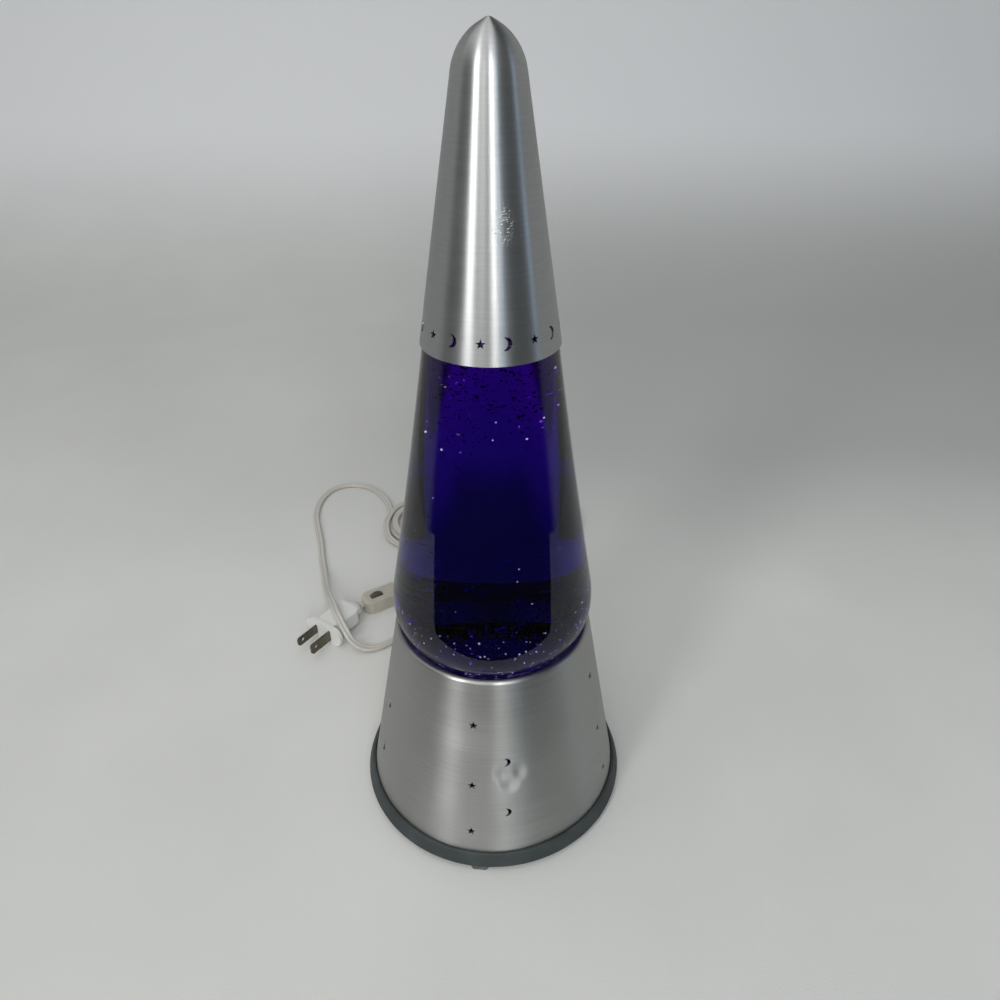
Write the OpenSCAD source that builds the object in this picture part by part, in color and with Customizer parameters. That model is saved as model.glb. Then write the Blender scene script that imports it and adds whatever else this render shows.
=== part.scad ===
// Liquid motion lamp: a tapered glass globe of glitter liquid stands in a perforated
// spun aluminium base over a bulb, under a matching aluminium cap. A flat twin cord
// leaves the foot ring at the back and ends in a thumbwheel switch and a two-blade plug.
// Millimetres, Z up. The feet stand on z = 0, the axis is Z and the front faces -Y.

/* [Base shell] */
// Outside diameter at the lower edge of the spun shell
shell_d = 136.6; // [120:0.2:160]
// Outside diameter that the cone would have at the height of the rim
shell_top_d = 98.3; // [92:0.1:108]
// Height of the shell from its lower edge to the top of the rim
shell_h = 103.5; // [100:0.5:140]
// Thickness of the aluminium sheet
sheet_t = 0.9; // [0.6:0.1:1.4]
// Outside radius of the rolled rim
rim_r = 1.6; // [1.5:0.1:3]
// Opening left by the turned-in lip that the globe sits on
seat_d = 80.6; // [72:0.2:82]
// Slope of that lip against the horizontal, in degrees
seat_lean = 46.5; // [40:0.5:52]

/* [Cut-outs] */
// Angle between one group of punched holes in the base and the next
group_pitch = 76.5; // [66:0.5:80]
// Number of groups in the base
group_count = 5; // [3:1:5]
// Angle of the front group from the front
group_turn = -2.2; // [-20:0.1:20]
// Angle between the column of stars and the column of crescents
column_step = 16; // [10:0.5:30]
// Heights of the stars above the lower edge of the shell
star_rows = [14.5, 43.5, 79.2]; // [10:0.1:92]
// Heights of the crescents above the lower edge of the shell
moon_rows = [27.2, 58]; // [10:0.1:92]
// Radius of a star in the base, centre to point
base_star_r = 2.4; // [1.2:0.1:3]
// Outer radius of a crescent in the base
base_moon_r = 2.4; // [1.5:0.1:3]
// Number of star and crescent pairs round the cap
cap_pairs = 8; // [4:1:10]
// Height of their row above the lower edge of the cap
cap_row = 8.4; // [6:0.1:20]
// Angle of the front star of the cap from the front
cap_turn = -8; // [-22:0.5:22]
// Radius of a star in the cap, centre to point
cap_star_r = 2.1; // [1.2:0.1:2.6]
// Outer radius of a crescent in the cap
cap_moon_r = 2.6; // [1.5:0.1:3]

/* [Foot ring] */
// Height of the rubber feet under the ring
foot_h = 2.5; // [1.5:0.1:5]
// Height of the ring's outside wall
ring_h = 7.4; // [7:0.1:14]
// How far the ring's lower edge stands out past the lower edge of the shell
ring_flare = 4; // [3:0.1:9]
// Wall of the ring at its lower edge
ring_wall = 2.4; // [1.8:0.1:2.8]
// Thickness of the floor moulded in one with the ring
floor_t = 2; // [1.5:0.1:2.5]
// Number of vent slots in the floor
vent_count = 12; // [6:1:16]
// Length of a foot round the ring
foot_l = 9; // [8:0.5:14]
// Angle of the front foot from the front
foot_turn = -6; // [-20:0.5:20]

/* [Globe] */
// Outside diameter of the globe at its belly
belly_d = 98.7; // [96:0.1:102]
// Radius of the bowl under the belly
bowl_r = 30; // [29:0.5:32]
// Radius of the turn from the belly to the flank
turn_r = 50; // [30:1:80]
// Taper of the flank where it leaves the belly, radius lost per height
low_taper = 0.184; // [0.17:0.001:0.2]
// Taper of the flank at its top
top_taper = 0.152; // [0.14:0.001:0.155]
// Height from the belly to the top of the flank
flank_h = 136.5; // [134:0.5:150]
// Wall of the glass
glass_t = 3; // [2:0.1:4]
// Thickness of the glass bottom
glass_bottom_t = 4.5; // [3:0.1:7]
// Radius of the shoulder over the flank
shoulder_r = 22; // [16:0.5:26]
// Radius of the throat between the shoulder and the neck
throat_r = 18; // [12:0.5:22]
// Outside diameter of the neck
neck_d = 24.4; // [22:0.1:26]
// Height of the neck above the throat
neck_h = 9; // [6:0.5:14]
// Distance of the liquid's level below the top of the flank
fill_drop = 1.5; // [0.5:0.1:20]
// Number of glitter flakes that the model shows
flake_count = 60; // [10:1:90]
// Radius of a six-sided flake
flake_r = 0.8; // [0.4:0.1:1.2]

/* [Cap] */
// Height from the belly of the globe to the lower edge of the cap
cap_rise = 131.4; // [128:0.1:132]
// Height of the cap
cap_h = 111.1; // [100:0.1:130]
// Lean of the cap's side against the axis, in degrees
cap_lean = 9.3; // [8.9:0.1:10]
// Half angle of the nose at the tip, in degrees
nose_half = 62; // [50:1:68]
// Radius of the turn from the side to the nose
nose_turn_r = 19.5; // [14:0.5:24]
// Radius of the tip
tip_r = 2.6; // [1:0.1:4]
// Thickness of the cap's sheet
cap_t = 0.8; // [0.5:0.1:1.2]
// Outside diameter of the crown closure over its flutes
crown_d = 32; // [31:0.2:33]

/* [Lamp holder and bulb] */
// Height of the strap's bridge above the floor
strap_rise = 8; // [7:0.5:12]
// Width of the strap
strap_w = 18; // [16:0.5:26]
// Thickness of the strap
strap_t = 1.2; // [0.8:0.1:2]
// Outside diameter of the lamp holder
holder_d = 27; // [24:0.5:32]
// Height of the lamp holder
holder_h = 30; // [28:0.5:34]
// Outside diameter of the hollow threaded stem under the holder
stem_d = 9.6; // [9:0.1:10.6]
// Outside diameter of the bulb's screw cap
screw_d = 16.6; // [16:0.1:17]
// Diameter of the bulb's globe
bulb_d = 35; // [28:0.5:40]
// Overall length of the bulb
bulb_l = 58; // [54:0.5:62]

/* [Cord, switch and plug] */
// Width of the flat twin cord
cord_w = 5.2; // [4.6:0.1:5.6]
// Thickness of the cord
cord_t = 2.7; // [2.2:0.1:3]
// Length of the tapered boot outside the ring
boot_l = 22; // [20:0.5:30]
// Loops in the put-away hank of cord
hank_loops = 3; // [3:2:5]
// Length of the switch
switch_l = 30; // [28:0.5:44]
// Width of the switch
switch_w = 15; // [14.5:0.5:22]
// Height of the switch
switch_h = 10; // [9.8:0.1:11]
// Diameter of the thumbwheel
wheel_d = 10.8; // [9:0.2:11.6]
// Width of the thumbwheel's rim
wheel_w = 4; // [3:0.1:5]
// Width of the plug's body
plug_w = 19; // [17:0.5:22]
// Length of the plug's body behind its flange
plug_l = 25; // [22:0.5:30]
// Width of the plug's flange
flange_w = 33; // [26:0.5:38]
// Height of the plug's flange
flange_h = 15; // [14:0.5:18]
// Distance between the centres of the blades
blade_pitch = 12.7; // [12:0.1:13]
// Length of the blades
blade_l = 17.5; // [15:0.1:18.5]

/* [Hidden] */
$fn = 64;

// Room that is left between pieces that are put together by hand
fit_gap = 0.2;
// Room between a lifted-off piece and its seat
seat_gap = 0.3;
// Room round a piece that is pressed or screwed in
press_gap = 0.05;
// Room round the turning axle
run_gap = 0.06;
// Length by which a cutter passes the face that it cuts
past = 1;

// Heights of the foot ring and of the shell standing in its groove
ring_top = foot_h + ring_h;
groove_depth = 2.4;
shell_z = ring_top - groove_depth;
rim_z = shell_z + shell_h;
shell_r = shell_d / 2;
wall_lean = atan((shell_d - shell_top_d) / 2 / shell_h);
sheet_run = sheet_t / cos(wall_lean);
function wall_r(z) = shell_r - (z - shell_z) * tan(wall_lean);
ring_r = shell_r + ring_flare;
upstand_z = ring_top + 0.8;
groove_in = wall_r(upstand_z) - sheet_run - fit_gap;
groove_out = shell_r + fit_gap;
block_z = shell_z - 2;
floor_top = ring_top - 0.9;
floor_z = floor_top - floor_t;

// Rolled rim and the turned-in lip
roll_z = rim_z - rim_r;
roll_at = [wall_r(roll_z + rim_r * sin(wall_lean)) - rim_r * cos(wall_lean), roll_z];
lip_turn = 90 + seat_lean;
function roll_end(inset) = roll_at + (rim_r - inset) * [cos(lip_turn), sin(lip_turn)];
function lip_edge(inset) =
    [seat_d / 2, roll_end(inset)[1] - (roll_end(inset)[0] - seat_d / 2) * tan(seat_lean)];

// The bowl of the globe lies against the lip, which sets the height of the belly
bowl_x = belly_d / 2 - bowl_r;
belly_z = roll_end(0)[1]
    + (bowl_r + seat_gap + sin(seat_lean) * (bowl_x - roll_end(0)[0])) / cos(seat_lean);
bowl_low = 75;
globe_z = belly_z - bowl_r * sin(bowl_low);

// Flank of the globe: its taper eases from low_taper to top_taper
turn_lean = atan(low_taper);
turn_at = [belly_d / 2 - turn_r, belly_z];
flank_low = turn_at + turn_r * [cos(turn_lean), sin(turn_lean)];
flank_top = belly_z + flank_h;
flank_ease = (low_taper - top_taper) / (flank_top - flank_low[1]);
function flank_taper(z) = low_taper - flank_ease * (z - flank_low[1]);
function flank_r(z) =
    flank_low[0] - low_taper * (z - flank_low[1]) + flank_ease * pow(z - flank_low[1], 2) / 2;
function flank_point(z, inset) =
    [flank_r(z), z] - inset * [cos(atan(flank_taper(z))), sin(atan(flank_taper(z)))];

// Shoulder, throat, neck and finish of the bottle, hidden under the cap
top_lean = atan(top_taper);
neck_r = neck_d / 2;
shoulder_at = [flank_r(flank_top), flank_top] - shoulder_r * [cos(top_lean), sin(top_lean)];
shoulder_turn = acos((neck_r + throat_r - shoulder_at[0]) / (shoulder_r + throat_r));
throat_at = shoulder_at + (shoulder_r + throat_r) * [cos(shoulder_turn), sin(shoulder_turn)];
neck_z = throat_at[1] + neck_h;
finish_h = 6.8;
finish_r = neck_r + 1.1;
finish_edge = 1.2;
finish_z = neck_z + finish_h;
liquid_z = flank_top - fill_drop;
liquid_gap = 0.1;

// Crown closure on the finish
liner_t = 0.8;
crown_t = 0.4;
crown_skirt = 5;
flute_count = 21;
flute_r = 1.1;

// Cap: its lower edge takes its diameter from the flank that it sits on
cap_z = belly_z + cap_rise;
cap_run = cap_t / cos(cap_lean);
cap_r = flank_r(cap_z) + seat_gap + cap_run;
tip_z = cap_z + cap_h;
apex_z = tip_z + tip_r * (1 / sin(nose_half) - 1);
function cap_wall_r(z) = cap_r - (z - cap_z) * tan(cap_lean);
// Centre of the arc that touches the side and the nose from inside
side_reach = cap_r * cos(cap_lean) + cap_z * sin(cap_lean) - nose_turn_r;
nose_reach = apex_z * sin(nose_half) - nose_turn_r;
nose_span = sin(nose_half - cap_lean);
nose_at = [side_reach * sin(nose_half) - nose_reach * sin(cap_lean),
    nose_reach * cos(cap_lean) - side_reach * cos(nose_half)] / nose_span;
tip_at = [0, tip_z - tip_r];

// Stack of the lamp holder, from the floor up
bridge_z = floor_top + strap_rise;
bridge_half = 20;
strap_foot = 11;
strap_screw_x = bridge_half + strap_foot / 2;
strap_screw_r = 1.6;
holder_z = bridge_z + strap_t;
stem_r = stem_d / 2;
stem_bore_r = 3.5;
stem_depth = 8;
stem_top = holder_z + stem_depth;
nut_h = 4;
nut_af = 14;
stem_low = bridge_z - nut_h - 1.5;
cup_z = holder_z + 10;
screw_r = screw_d / 2;
thread_gap = 0.3;
shell_wall = 0.4;
socket_r = screw_r + thread_gap + shell_wall;
contact_h = 1;
bulb_z = cup_z + contact_h + fit_gap;
cap_low = bulb_z + 2.1;
cap_top = bulb_z + 18;
bulb_r = bulb_d / 2;
bulb_at = [0, bulb_z + bulb_l - bulb_r];
bulb_neck_r = screw_r - 0.9;
bulb_wall = 0.7;
flare_turn = 50;
flare_r = (bulb_r * cos(flare_turn) - bulb_neck_r) / (1 - cos(flare_turn));
flare_at = [bulb_neck_r + flare_r, bulb_at[1] - (bulb_r + flare_r) * sin(flare_turn)];
filament_half = 7;
seal_r = 3.35;
solder_h = 0.7;

// Cord: the boot in the ring, opposite the front foot, and the routes on the floor
exit_turn = foot_turn + 180;
exit_dir = [sin(exit_turn), -cos(exit_turn), 0];
cord_z = cord_t / 2 + 0.05;
boot_z = foot_h + 1;
boot_in = ring_r - ring_wall - 3.5;
boot_out = ring_r + boot_l;
boot_h = cord_t + 1.9;
boot_w = cord_w + 3.4;
boot_end = exit_dir * boot_out + [0, 0, boot_z];
lead_points = [[11, 108, 2.4], [7, 122, 1.4], [-5, 132, 1.4], [-21, 134, 1.4], [-38, 127, 1.4],
    [-53, 114, 1.4], [-65, 100.5, 1.6], [-76.5, 90.5, 1.4], [-87, 86.8, 2.6], [-95.9, 88.9, 6.9],
    [-102.2, 95.4, 13.3], [-108.6, 106.3, 17.1], [-114.6, 120.3, 16.2], [-120.5, 135, 12],
    [-126, 152, 6.8], [-131.5, 172, 2.8],
    [-137, 192, 1.4], [-142, 213, 1.4], [-148, 233, 1.4], [-153, 252, 1.4], [-154, 273, 1.4],
    [-149, 291, 1.4], [-139, 301, 1.4], [-126, 303, 1.4], [-112, 298, 1.4], [-100, 285, 1.4],
    [-91, 266, 1.7]];
tail_points = [[-89, 228, 4.8], [-85.5, 217, 3.4], [-77, 208.5, 1.9], [-64.5, 199, 1.4],
    [-52, 189, 1.4], [-45.8, 181.3, 1.4], [-43.8, 172.4, 1.4], [-46.2, 163, 2.4], [-55, 154.3, 4.8]];

// Hank behind the base: loops with straight runs, drawn in at the waist by the tie
hank_at = [-6, 240];
hank_run = 49;
hank_r = 31;
hank_step = 6.6;
hank_waist = 12;
tie_t = 0.6;
layer_z = [tie_t + 0.2 + cord_t / 2, tie_t + 0.8 + cord_t * 1.5];
loop_rings = 24;
// Loops spiral in and, from the middle of a near run on, out again a layer higher
hank_turn = hank_loops / 2 - 0.25;
climb_rate = 5;
function hank_in(t) = hank_r - hank_step * min(t, 2 * hank_turn - t);
function blend(u) = u <= 0 ? 0 : u >= 1 ? 1 : u * u * (3 - 2 * u);
function hank_z(t) =
    layer_z[0] + (layer_z[1] - layer_z[0]) * blend((t - hank_turn) * climb_rate + 0.5);
function waist(x) = hank_waist * (1 + cos(180 * x / hank_run)) / 2;
// Point at turn u of a loop of end radius r, from the left end and along the near run
function loop_point(u, r) =
    u < 0.125 ? [-hank_run, 0] - r * [cos(720 * u), sin(720 * u)]
    : u < 0.375 ? let (x = (u - 0.25) * 8 * hank_run) [x, waist(x) - r]
    : u < 0.625 ? [hank_run, 0] + r * [cos(720 * (u - 0.5)), sin(720 * (u - 0.5))]
    : u < 0.875 ? let (x = (0.75 - u) * 8 * hank_run) [x, r - waist(x)]
    : [-hank_run, 0] - r * [cos(720 * (u - 1)), sin(720 * (u - 1))];
function hank_point(t) =
    let (p = hank_at + loop_point(t - floor(t), hank_in(t))) [p[0], p[1], hank_z(t)];
function hank_points(rings) = [for (i = [0:rings * hank_loops]) hank_point(i / rings)];
hank_start = hank_point(0);
hank_end = hank_point(hank_loops);
// Way in which the cord runs into the hank and out of it
hank_dir = [0, -1, 0];

// Least gap between stretches of the hank, measured on close points and printed
gap_rings = 96;
gap_points = hank_points(gap_rings);
function strand_gap(a, b) =
    max(norm([a[0] - b[0], a[1] - b[1]]) - cord_w, abs(a[2] - b[2]) - cord_t);
hank_gap = min([for (i = [0:len(gap_points) - 1]) for (j = [i + gap_rings / 3:len(gap_points) - 1])
    strand_gap(gap_points[i], gap_points[j])]);
echo(least_gap_in_hank = hank_gap);

// Switch and plug where they lie on the floor beside the base
switch_turn = 32;
switch_dir = [cos(switch_turn), sin(switch_turn), 0];
switch_at = [-82, 137, 0];
split_z = wheel_d / 2 + 1.2;
wheel_x = -4;
axle_r = 1;
axle_half = 5;
switch_cord_z = split_z - 0.6;
switch_near = switch_at - switch_dir * switch_l / 2 + [0, 0, switch_cord_z];
switch_far = switch_at + switch_dir * switch_l / 2 + [0, 0, switch_cord_z];
plug_turn = 235;
plug_dir = [cos(plug_turn), sin(plug_turn), 0];
plug_at = [-118, 98.5, 0];
flange_t = 2.5;
plug_h = flange_h - 2;
plug_z = flange_h / 2;
plug_neck = 4;
plug_back = plug_at - plug_dir * (flange_t + plug_l + plug_neck) + [0, 0, plug_z];
blade_t = 1.5;
blade_heights = [6.4, 7.9];
switch_screw_at = [10, 4.6];
switch_screw_r = 1.2;
switch_screw_h = split_z + 1.8;
switch_screw_low = 0.4;

lead_route = concat([boot_end], lead_points, [hank_start]);
tail_route = concat([hank_end], tail_points, [switch_far]);
stub_l = 3;
pigtail_route =
    [plug_back, plug_back - plug_dir * stub_l, switch_near - switch_dir * stub_l, switch_near];
inner_bend = 9;
inner_route = concat([[0, boot_in, boot_z], [0, boot_in * 0.7, boot_z], [0, boot_in * 0.4, boot_z]],
    [for (a = [0:22.5:90]) [0, inner_bend * (1 - sin(a)), boot_z + inner_bend * (1 - cos(a))]],
    [[0, 0, stem_top]]);

// Points of a round stretch
function arc(at, r, from, to, steps) =
    [for (i = [0:steps]) let (a = from + (to - from) * i / steps) at + r * [cos(a), sin(a)]];
function reversed(list) = [for (i = [len(list) - 1:-1:0]) list[i]];
function unit(v) = v / norm(v);

// Smooth curve through a route's points, cut into steps between each pair
function on_route(p, i, u) =
    let (n = len(p) - 1, a = p[max(i - 1, 0)], b = p[i], c = p[i + 1], d = p[min(i + 2, n)])
    (2 * b + (c - a) * u + (2 * a - 5 * b + 4 * c - d) * pow(u, 2)
        + (3 * b - 3 * c + d - a) * pow(u, 3)) / 2;
function smooth(p, steps) = concat(
    [for (i = [0:len(p) - 2]) for (k = [0:steps - 1]) on_route(p, i, k / steps)], [p[len(p) - 1]]);

// Section of the flat cord with eight sides, or six inside the hank
eight_sides = [[1, 0.4], [0.7, 1], [-0.7, 1], [-1, 0.4], [-1, -0.4], [-0.7, -1], [0.7, -1], [1, -0.4]];
six_sides = [[1, 0], [0.6, 1], [-0.6, 1], [-1, 0], [-0.6, -1], [0.6, -1]];

// Flat cord swept along points, lying flat unless the way across it is given, with the
// directions of its two ends
module swept(p, section, first, last, across = undef) {
    n = len(p);
    m = len(section);
    rings = [for (i = [0:n - 1]) let (
            way = i == 0 ? first : i == n - 1 ? last : unit(p[i + 1] - p[i - 1]),
            side = across == undef ? unit(cross(way, [0, 0, 1])) : across,
            up = cross(side, way))
        for (q = section) p[i] + side * q[0] * cord_w / 2 + up * q[1] * cord_t / 2];
    walls = [for (i = [0:n - 2]) for (j = [0:m - 1]) let (
            a = i * m + j, b = i * m + (j + 1) % m)
        each [[a, a + m, b], [b, a + m, b + m]]];
    end = (n - 1) * m;
    ends = [for (j = [1:m - 2]) each [[0, j, j + 1], [end, end + j + 1, end + j]]];
    polyhedron(points = rings, faces = concat(walls, ends), convexity = 10);
}

// Rectangle with round corners, centred
module rounded(w, h, r) {
    square([w - 2 * r, h], center = true);
    square([w, h - 2 * r], center = true);
    for (x = [-1, 1]) for (y = [-1, 1]) translate([x * (w / 2 - r), y * (h / 2 - r)]) circle(r);
}

// Five-point star with a point up
module star(r) {
    waist_share = 0.42;
    polygon([for (i = [0:9]) r * (i % 2 == 0 ? 1 : waist_share) * [sin(36 * i), cos(36 * i)]]);
}

// Crescent with its back to the right, leaning a little to the right
module crescent(r) {
    moon_lean = -4;
    bite = [0.62, 0.95];
    rotate(moon_lean) difference() {
        circle(r);
        translate([-bite[0] * r, 0]) circle(bite[1] * r);
    }
}

// Sets a punched shape on a cone at an angle from the front and a height
module punched(angle, z, r, lean, sheet) {
    rotate(angle) translate([0, -r, z]) rotate([90 - lean, 0, 0])
        linear_extrude(height = 8 * sheet, center = true) children();
}

// Rubber foot flush with the ring, with a stud pressed up into it
foot_w = 6.6;
foot_at = ring_r - foot_w / 2 - fit_gap;
stud_r = 1.6;
stud_h = 2.4;
stud_back = 0.6;
module foot_pads() {
    color("dimgray") for (k = [0:2]) rotate(foot_turn + 120 * k) translate([0, -foot_at, 0]) {
        linear_extrude(foot_h) rounded(foot_l, foot_w, 2);
        translate([0, stud_back, foot_h]) cylinder(r = stud_r, h = stud_h);
    }
}

// Moulded ring with its floor, the groove for the shell, vents, bosses and the cord's notch
module foot_ring() {
    edge = 0.5;
    lip = 0.8;
    boss_r = 3.2;
    upstand = 1.5;
    block = 2.5;
    vent = [14, 4];
    vent_r = 46;
    cord_hole_r = 6.5;
    notch_l = 11;
    color("darkslategray") difference() {
        union() {
            rotate_extrude($fn = 128) polygon(concat(
                [[0, floor_z], [groove_in - block - upstand, floor_z], [groove_in - block, block_z],
                    [ring_r - ring_wall - 1, block_z], [ring_r - ring_wall, foot_h],
                    [ring_r - edge, foot_h], [ring_r, foot_h + edge]],
                arc([groove_out + lip, ring_top - lip], lip, 15, 90, 4),
                [[groove_out, ring_top], [groove_out, shell_z], [groove_in, shell_z],
                    [groove_in, upstand_z], [groove_in - upstand, upstand_z],
                    [groove_in - upstand, floor_top], [0, floor_top]]));
            for (k = [0:2]) rotate(foot_turn + 120 * k) translate([0, stud_back - foot_at, foot_h])
                cylinder(r = boss_r, h = block_z - foot_h + 0.5);
            for (x = [-1, 1]) translate([x * strap_screw_x, 0, foot_h + 0.8])
                cylinder(r = boss_r, h = floor_z - foot_h);
        }
        for (k = [0:2]) rotate(foot_turn + 120 * k)
            translate([0, stud_back - foot_at, foot_h - past])
                cylinder(r = stud_r + press_gap, h = stud_h + past);
        for (x = [-1, 1]) translate([x * strap_screw_x, 0, foot_h + 2])
            cylinder(r = strap_screw_r + press_gap, h = floor_top);
        for (k = [0:vent_count - 1]) rotate((k + 0.5) * 360 / vent_count)
            translate([vent_r, 0, floor_z - past])
                linear_extrude(floor_t + 2 * past) rounded(vent[0], vent[1], vent[1] / 2 - 0.1);
        translate([0, 0, floor_z - past]) cylinder(r = cord_hole_r, h = floor_t + 2 * past);
        rotate(exit_turn) translate([-boot_w / 2 - fit_gap, -ring_r - past, 0])
            cube([boot_w + 2 * fit_gap, notch_l, boot_z + boot_h / 2 + fit_gap]);
    }
}

// Spun cone with a rolled rim and the lip turned in as a seat for the globe
module base_shell() {
    color("lightgray") difference() {
        rotate_extrude($fn = 128) polygon(concat(
            [[shell_r, shell_z]],
            arc(roll_at, rim_r, wall_lean, lip_turn, 10),
            [lip_edge(0), lip_edge(sheet_t)],
            reversed(arc(roll_at, rim_r - sheet_t, wall_lean, lip_turn, 10)),
            [[shell_r - sheet_run, shell_z]]));
        for (k = [0:group_count - 1]) {
            turn = group_turn + group_pitch * (k - floor(group_count / 2));
            for (h = star_rows) let (z = shell_z + h)
                punched(turn - column_step / 2, z, wall_r(z), wall_lean, sheet_t) star(base_star_r);
            for (h = moon_rows) let (z = shell_z + h)
                punched(turn + column_step / 2, z, wall_r(z), wall_lean, sheet_t) crescent(base_moon_r);
        }
    }
}

// Bent steel strap that carries the lamp holder over the floor
module holder_strap() {
    reach = bridge_half + strap_foot;
    foot_top = floor_top + strap_t;
    color("silver") difference() {
        rotate([90, 0, 0]) linear_extrude(strap_w, center = true) polygon([
            [-reach, floor_top], [strap_t - bridge_half, floor_top], [strap_t - bridge_half, bridge_z],
            [bridge_half - strap_t, bridge_z], [bridge_half - strap_t, floor_top], [reach, floor_top],
            [reach, foot_top], [bridge_half, foot_top], [bridge_half, holder_z],
            [-bridge_half, holder_z], [-bridge_half, foot_top], [-reach, foot_top]]);
        for (x = [-1, 1]) translate([x * strap_screw_x, 0, floor_top - past])
            cylinder(r = strap_screw_r + fit_gap, h = strap_t + 2 * past);
        translate([0, 0, bridge_z - past]) cylinder(r = stem_r + fit_gap, h = strap_t + 2 * past);
    }
}

// Two pan-head screws hold the strap to the floor
module strap_screws() {
    head_r = 3.2;
    head_h = 2;
    low = foot_h + 2.4;
    head_z = floor_top + strap_t;
    slot = [4, 0.7];
    color("gainsboro") for (x = [-1, 1]) translate([x * strap_screw_x, 0, 0]) difference() {
        union() {
            translate([0, 0, low]) cylinder(r = strap_screw_r, h = head_z - low);
            translate([0, 0, head_z]) cylinder(r1 = head_r, r2 = head_r * 0.75, h = head_h);
        }
        for (a = [0, 90]) rotate(a) translate([0, 0, head_z + head_h])
            cube([slot[0], slot[1], head_h], center = true);
    }
}

// Hollow threaded stem that the cord comes up through
module stem_tube() {
    color("goldenrod") translate([0, 0, stem_low]) difference() {
        cylinder(r = stem_r, h = stem_top - stem_low);
        translate([0, 0, -past]) cylinder(r = stem_bore_r, h = stem_top - stem_low + 2 * past);
    }
}

// Hexagon nut under the bridge of the strap
module stem_nut() {
    color("gainsboro") translate([0, 0, bridge_z - nut_h]) difference() {
        cylinder(r = nut_af / sqrt(3), h = nut_h, $fn = 6);
        translate([0, 0, -past]) cylinder(r = stem_r + press_gap, h = nut_h + 2 * past);
    }
}

// Porcelain lamp holder, waisted under its cup
module lamp_holder() {
    holder_r = holder_d / 2;
    waist_r = holder_r - 2;
    brim = 1.5;
    color("ivory") rotate_extrude() polygon([
        [stem_r + press_gap, holder_z], [waist_r, holder_z], [waist_r, cup_z - brim], [holder_r, cup_z],
        [holder_r, holder_z + holder_h - brim], [holder_r - brim, holder_z + holder_h],
        [socket_r + press_gap, holder_z + holder_h], [socket_r + press_gap, cup_z], [0, cup_z],
        [0, stem_top], [stem_r + press_gap, stem_top]]);
}

// Brass screw shell that lines the cup
module screw_shell() {
    color("gold") rotate_extrude() polygon([
        [screw_r - 3, cup_z], [socket_r, cup_z], [socket_r, holder_z + holder_h - 0.8],
        [socket_r - shell_wall, holder_z + holder_h - 0.8], [socket_r - shell_wall, cup_z + shell_wall],
        [screw_r - 3, cup_z + shell_wall]]);
}

// Spring contact in the middle of the cup
module centre_contact() {
    color("goldenrod") translate([0, 0, cup_z]) {
        cylinder(r = 3.6, h = 0.4);
        cylinder(r1 = 2.8, r2 = 1.6, h = contact_h);
    }
}

// Thin screw cap of the bulb, its side waved like a rolled thread
module bulb_cap() {
    waves = 5;
    wave = 0.35;
    steps = waves * 8;
    rise = cap_top - cap_low;
    inside_r = bulb_neck_r + 0.25;
    hole_r = seal_r + press_gap;
    foot = bulb_z + solder_h;
    color("gainsboro") rotate_extrude() polygon(concat(
        [[hole_r, foot], [screw_r - 2.6, foot], [screw_r - wave, cap_low]],
        [for (i = [1:steps])
            [screw_r - wave / 2 * (1 + cos(360 * waves * i / steps)), cap_low + rise * i / steps]],
        [[inside_r, cap_top], [inside_r, cap_low + 1], [hole_r, cap_low + 1]]));
}

// Solder contact set in black glass at the foot of the bulb
module bulb_contact() {
    color("dimgray") translate([0, 0, bulb_z]) {
        cylinder(r1 = 2, r2 = 2.6, h = solder_h);
        cylinder(r = seal_r, h = cap_low + 1 - bulb_z - fit_gap);
    }
}

// Clear envelope of the bulb
module bulb_glass() {
    function outline(inset) = concat(
        [[bulb_neck_r - inset, cap_low + 3]],
        arc(flare_at, flare_r + inset, 180, 180 - flare_turn, 8),
        arc(bulb_at, bulb_r - inset, -flare_turn, 90, 24));
    color("aliceblue", 0.5) rotate_extrude()
        polygon(concat(outline(0), reversed(outline(bulb_wall))));
}

// Glass stem of the bulb with the two wires that carry the filament
module bulb_mount() {
    stem_foot_r = bulb_neck_r - bulb_wall - 0.2;
    stem_foot = cap_low + 3.2;
    stem_tip = flare_at[1] + 8;
    wire_r = 0.4;
    spread = [filament_half - 1, bulb_at[1] - stem_tip + 1];
    color("lightsteelblue", 0.6) rotate_extrude() polygon([
        [0, stem_foot], [stem_foot_r, stem_foot], [stem_foot_r, stem_foot + 1], [2.4, stem_foot + 5],
        [2, stem_tip], [0, stem_tip]]);
    color("gray") difference() {
        for (x = [-1, 1]) translate([x, 0, stem_tip - 1])
            rotate([0, x * atan(spread[0] / spread[1]), 0]) cylinder(r = wire_r, h = norm(spread));
        bulb_filament();
    }
}

// Filament stretched between the wires
module bulb_filament() {
    color("dimgray") translate([0, 0, bulb_at[1]]) rotate([0, 90, 0])
        cylinder(r = 0.6, h = 2 * filament_half - 1, center = true);
}

// Inside or outside outline of the globe from its bottom up to a height on the flank
function bowl_start(inset, low) = -asin(min(1, (belly_z - low) / (bowl_r - inset)));
function globe_low(inset, low) = concat(
    arc([bowl_x, belly_z], bowl_r - inset, bowl_start(inset, low), 0, 14),
    arc(turn_at, turn_r - inset, turn_lean / 3, turn_lean, 2));
function globe_flank(inset, to) =
    [for (i = [1:12]) flank_point(flank_low[1] + (to - flank_low[1]) * i / 12, inset)];
function globe_high(inset) = concat(
    arc(shoulder_at, shoulder_r - inset, top_lean + 6, shoulder_turn, 8),
    reversed(arc(throat_at, throat_r + inset, 180, 180 + shoulder_turn, 8)));

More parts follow.
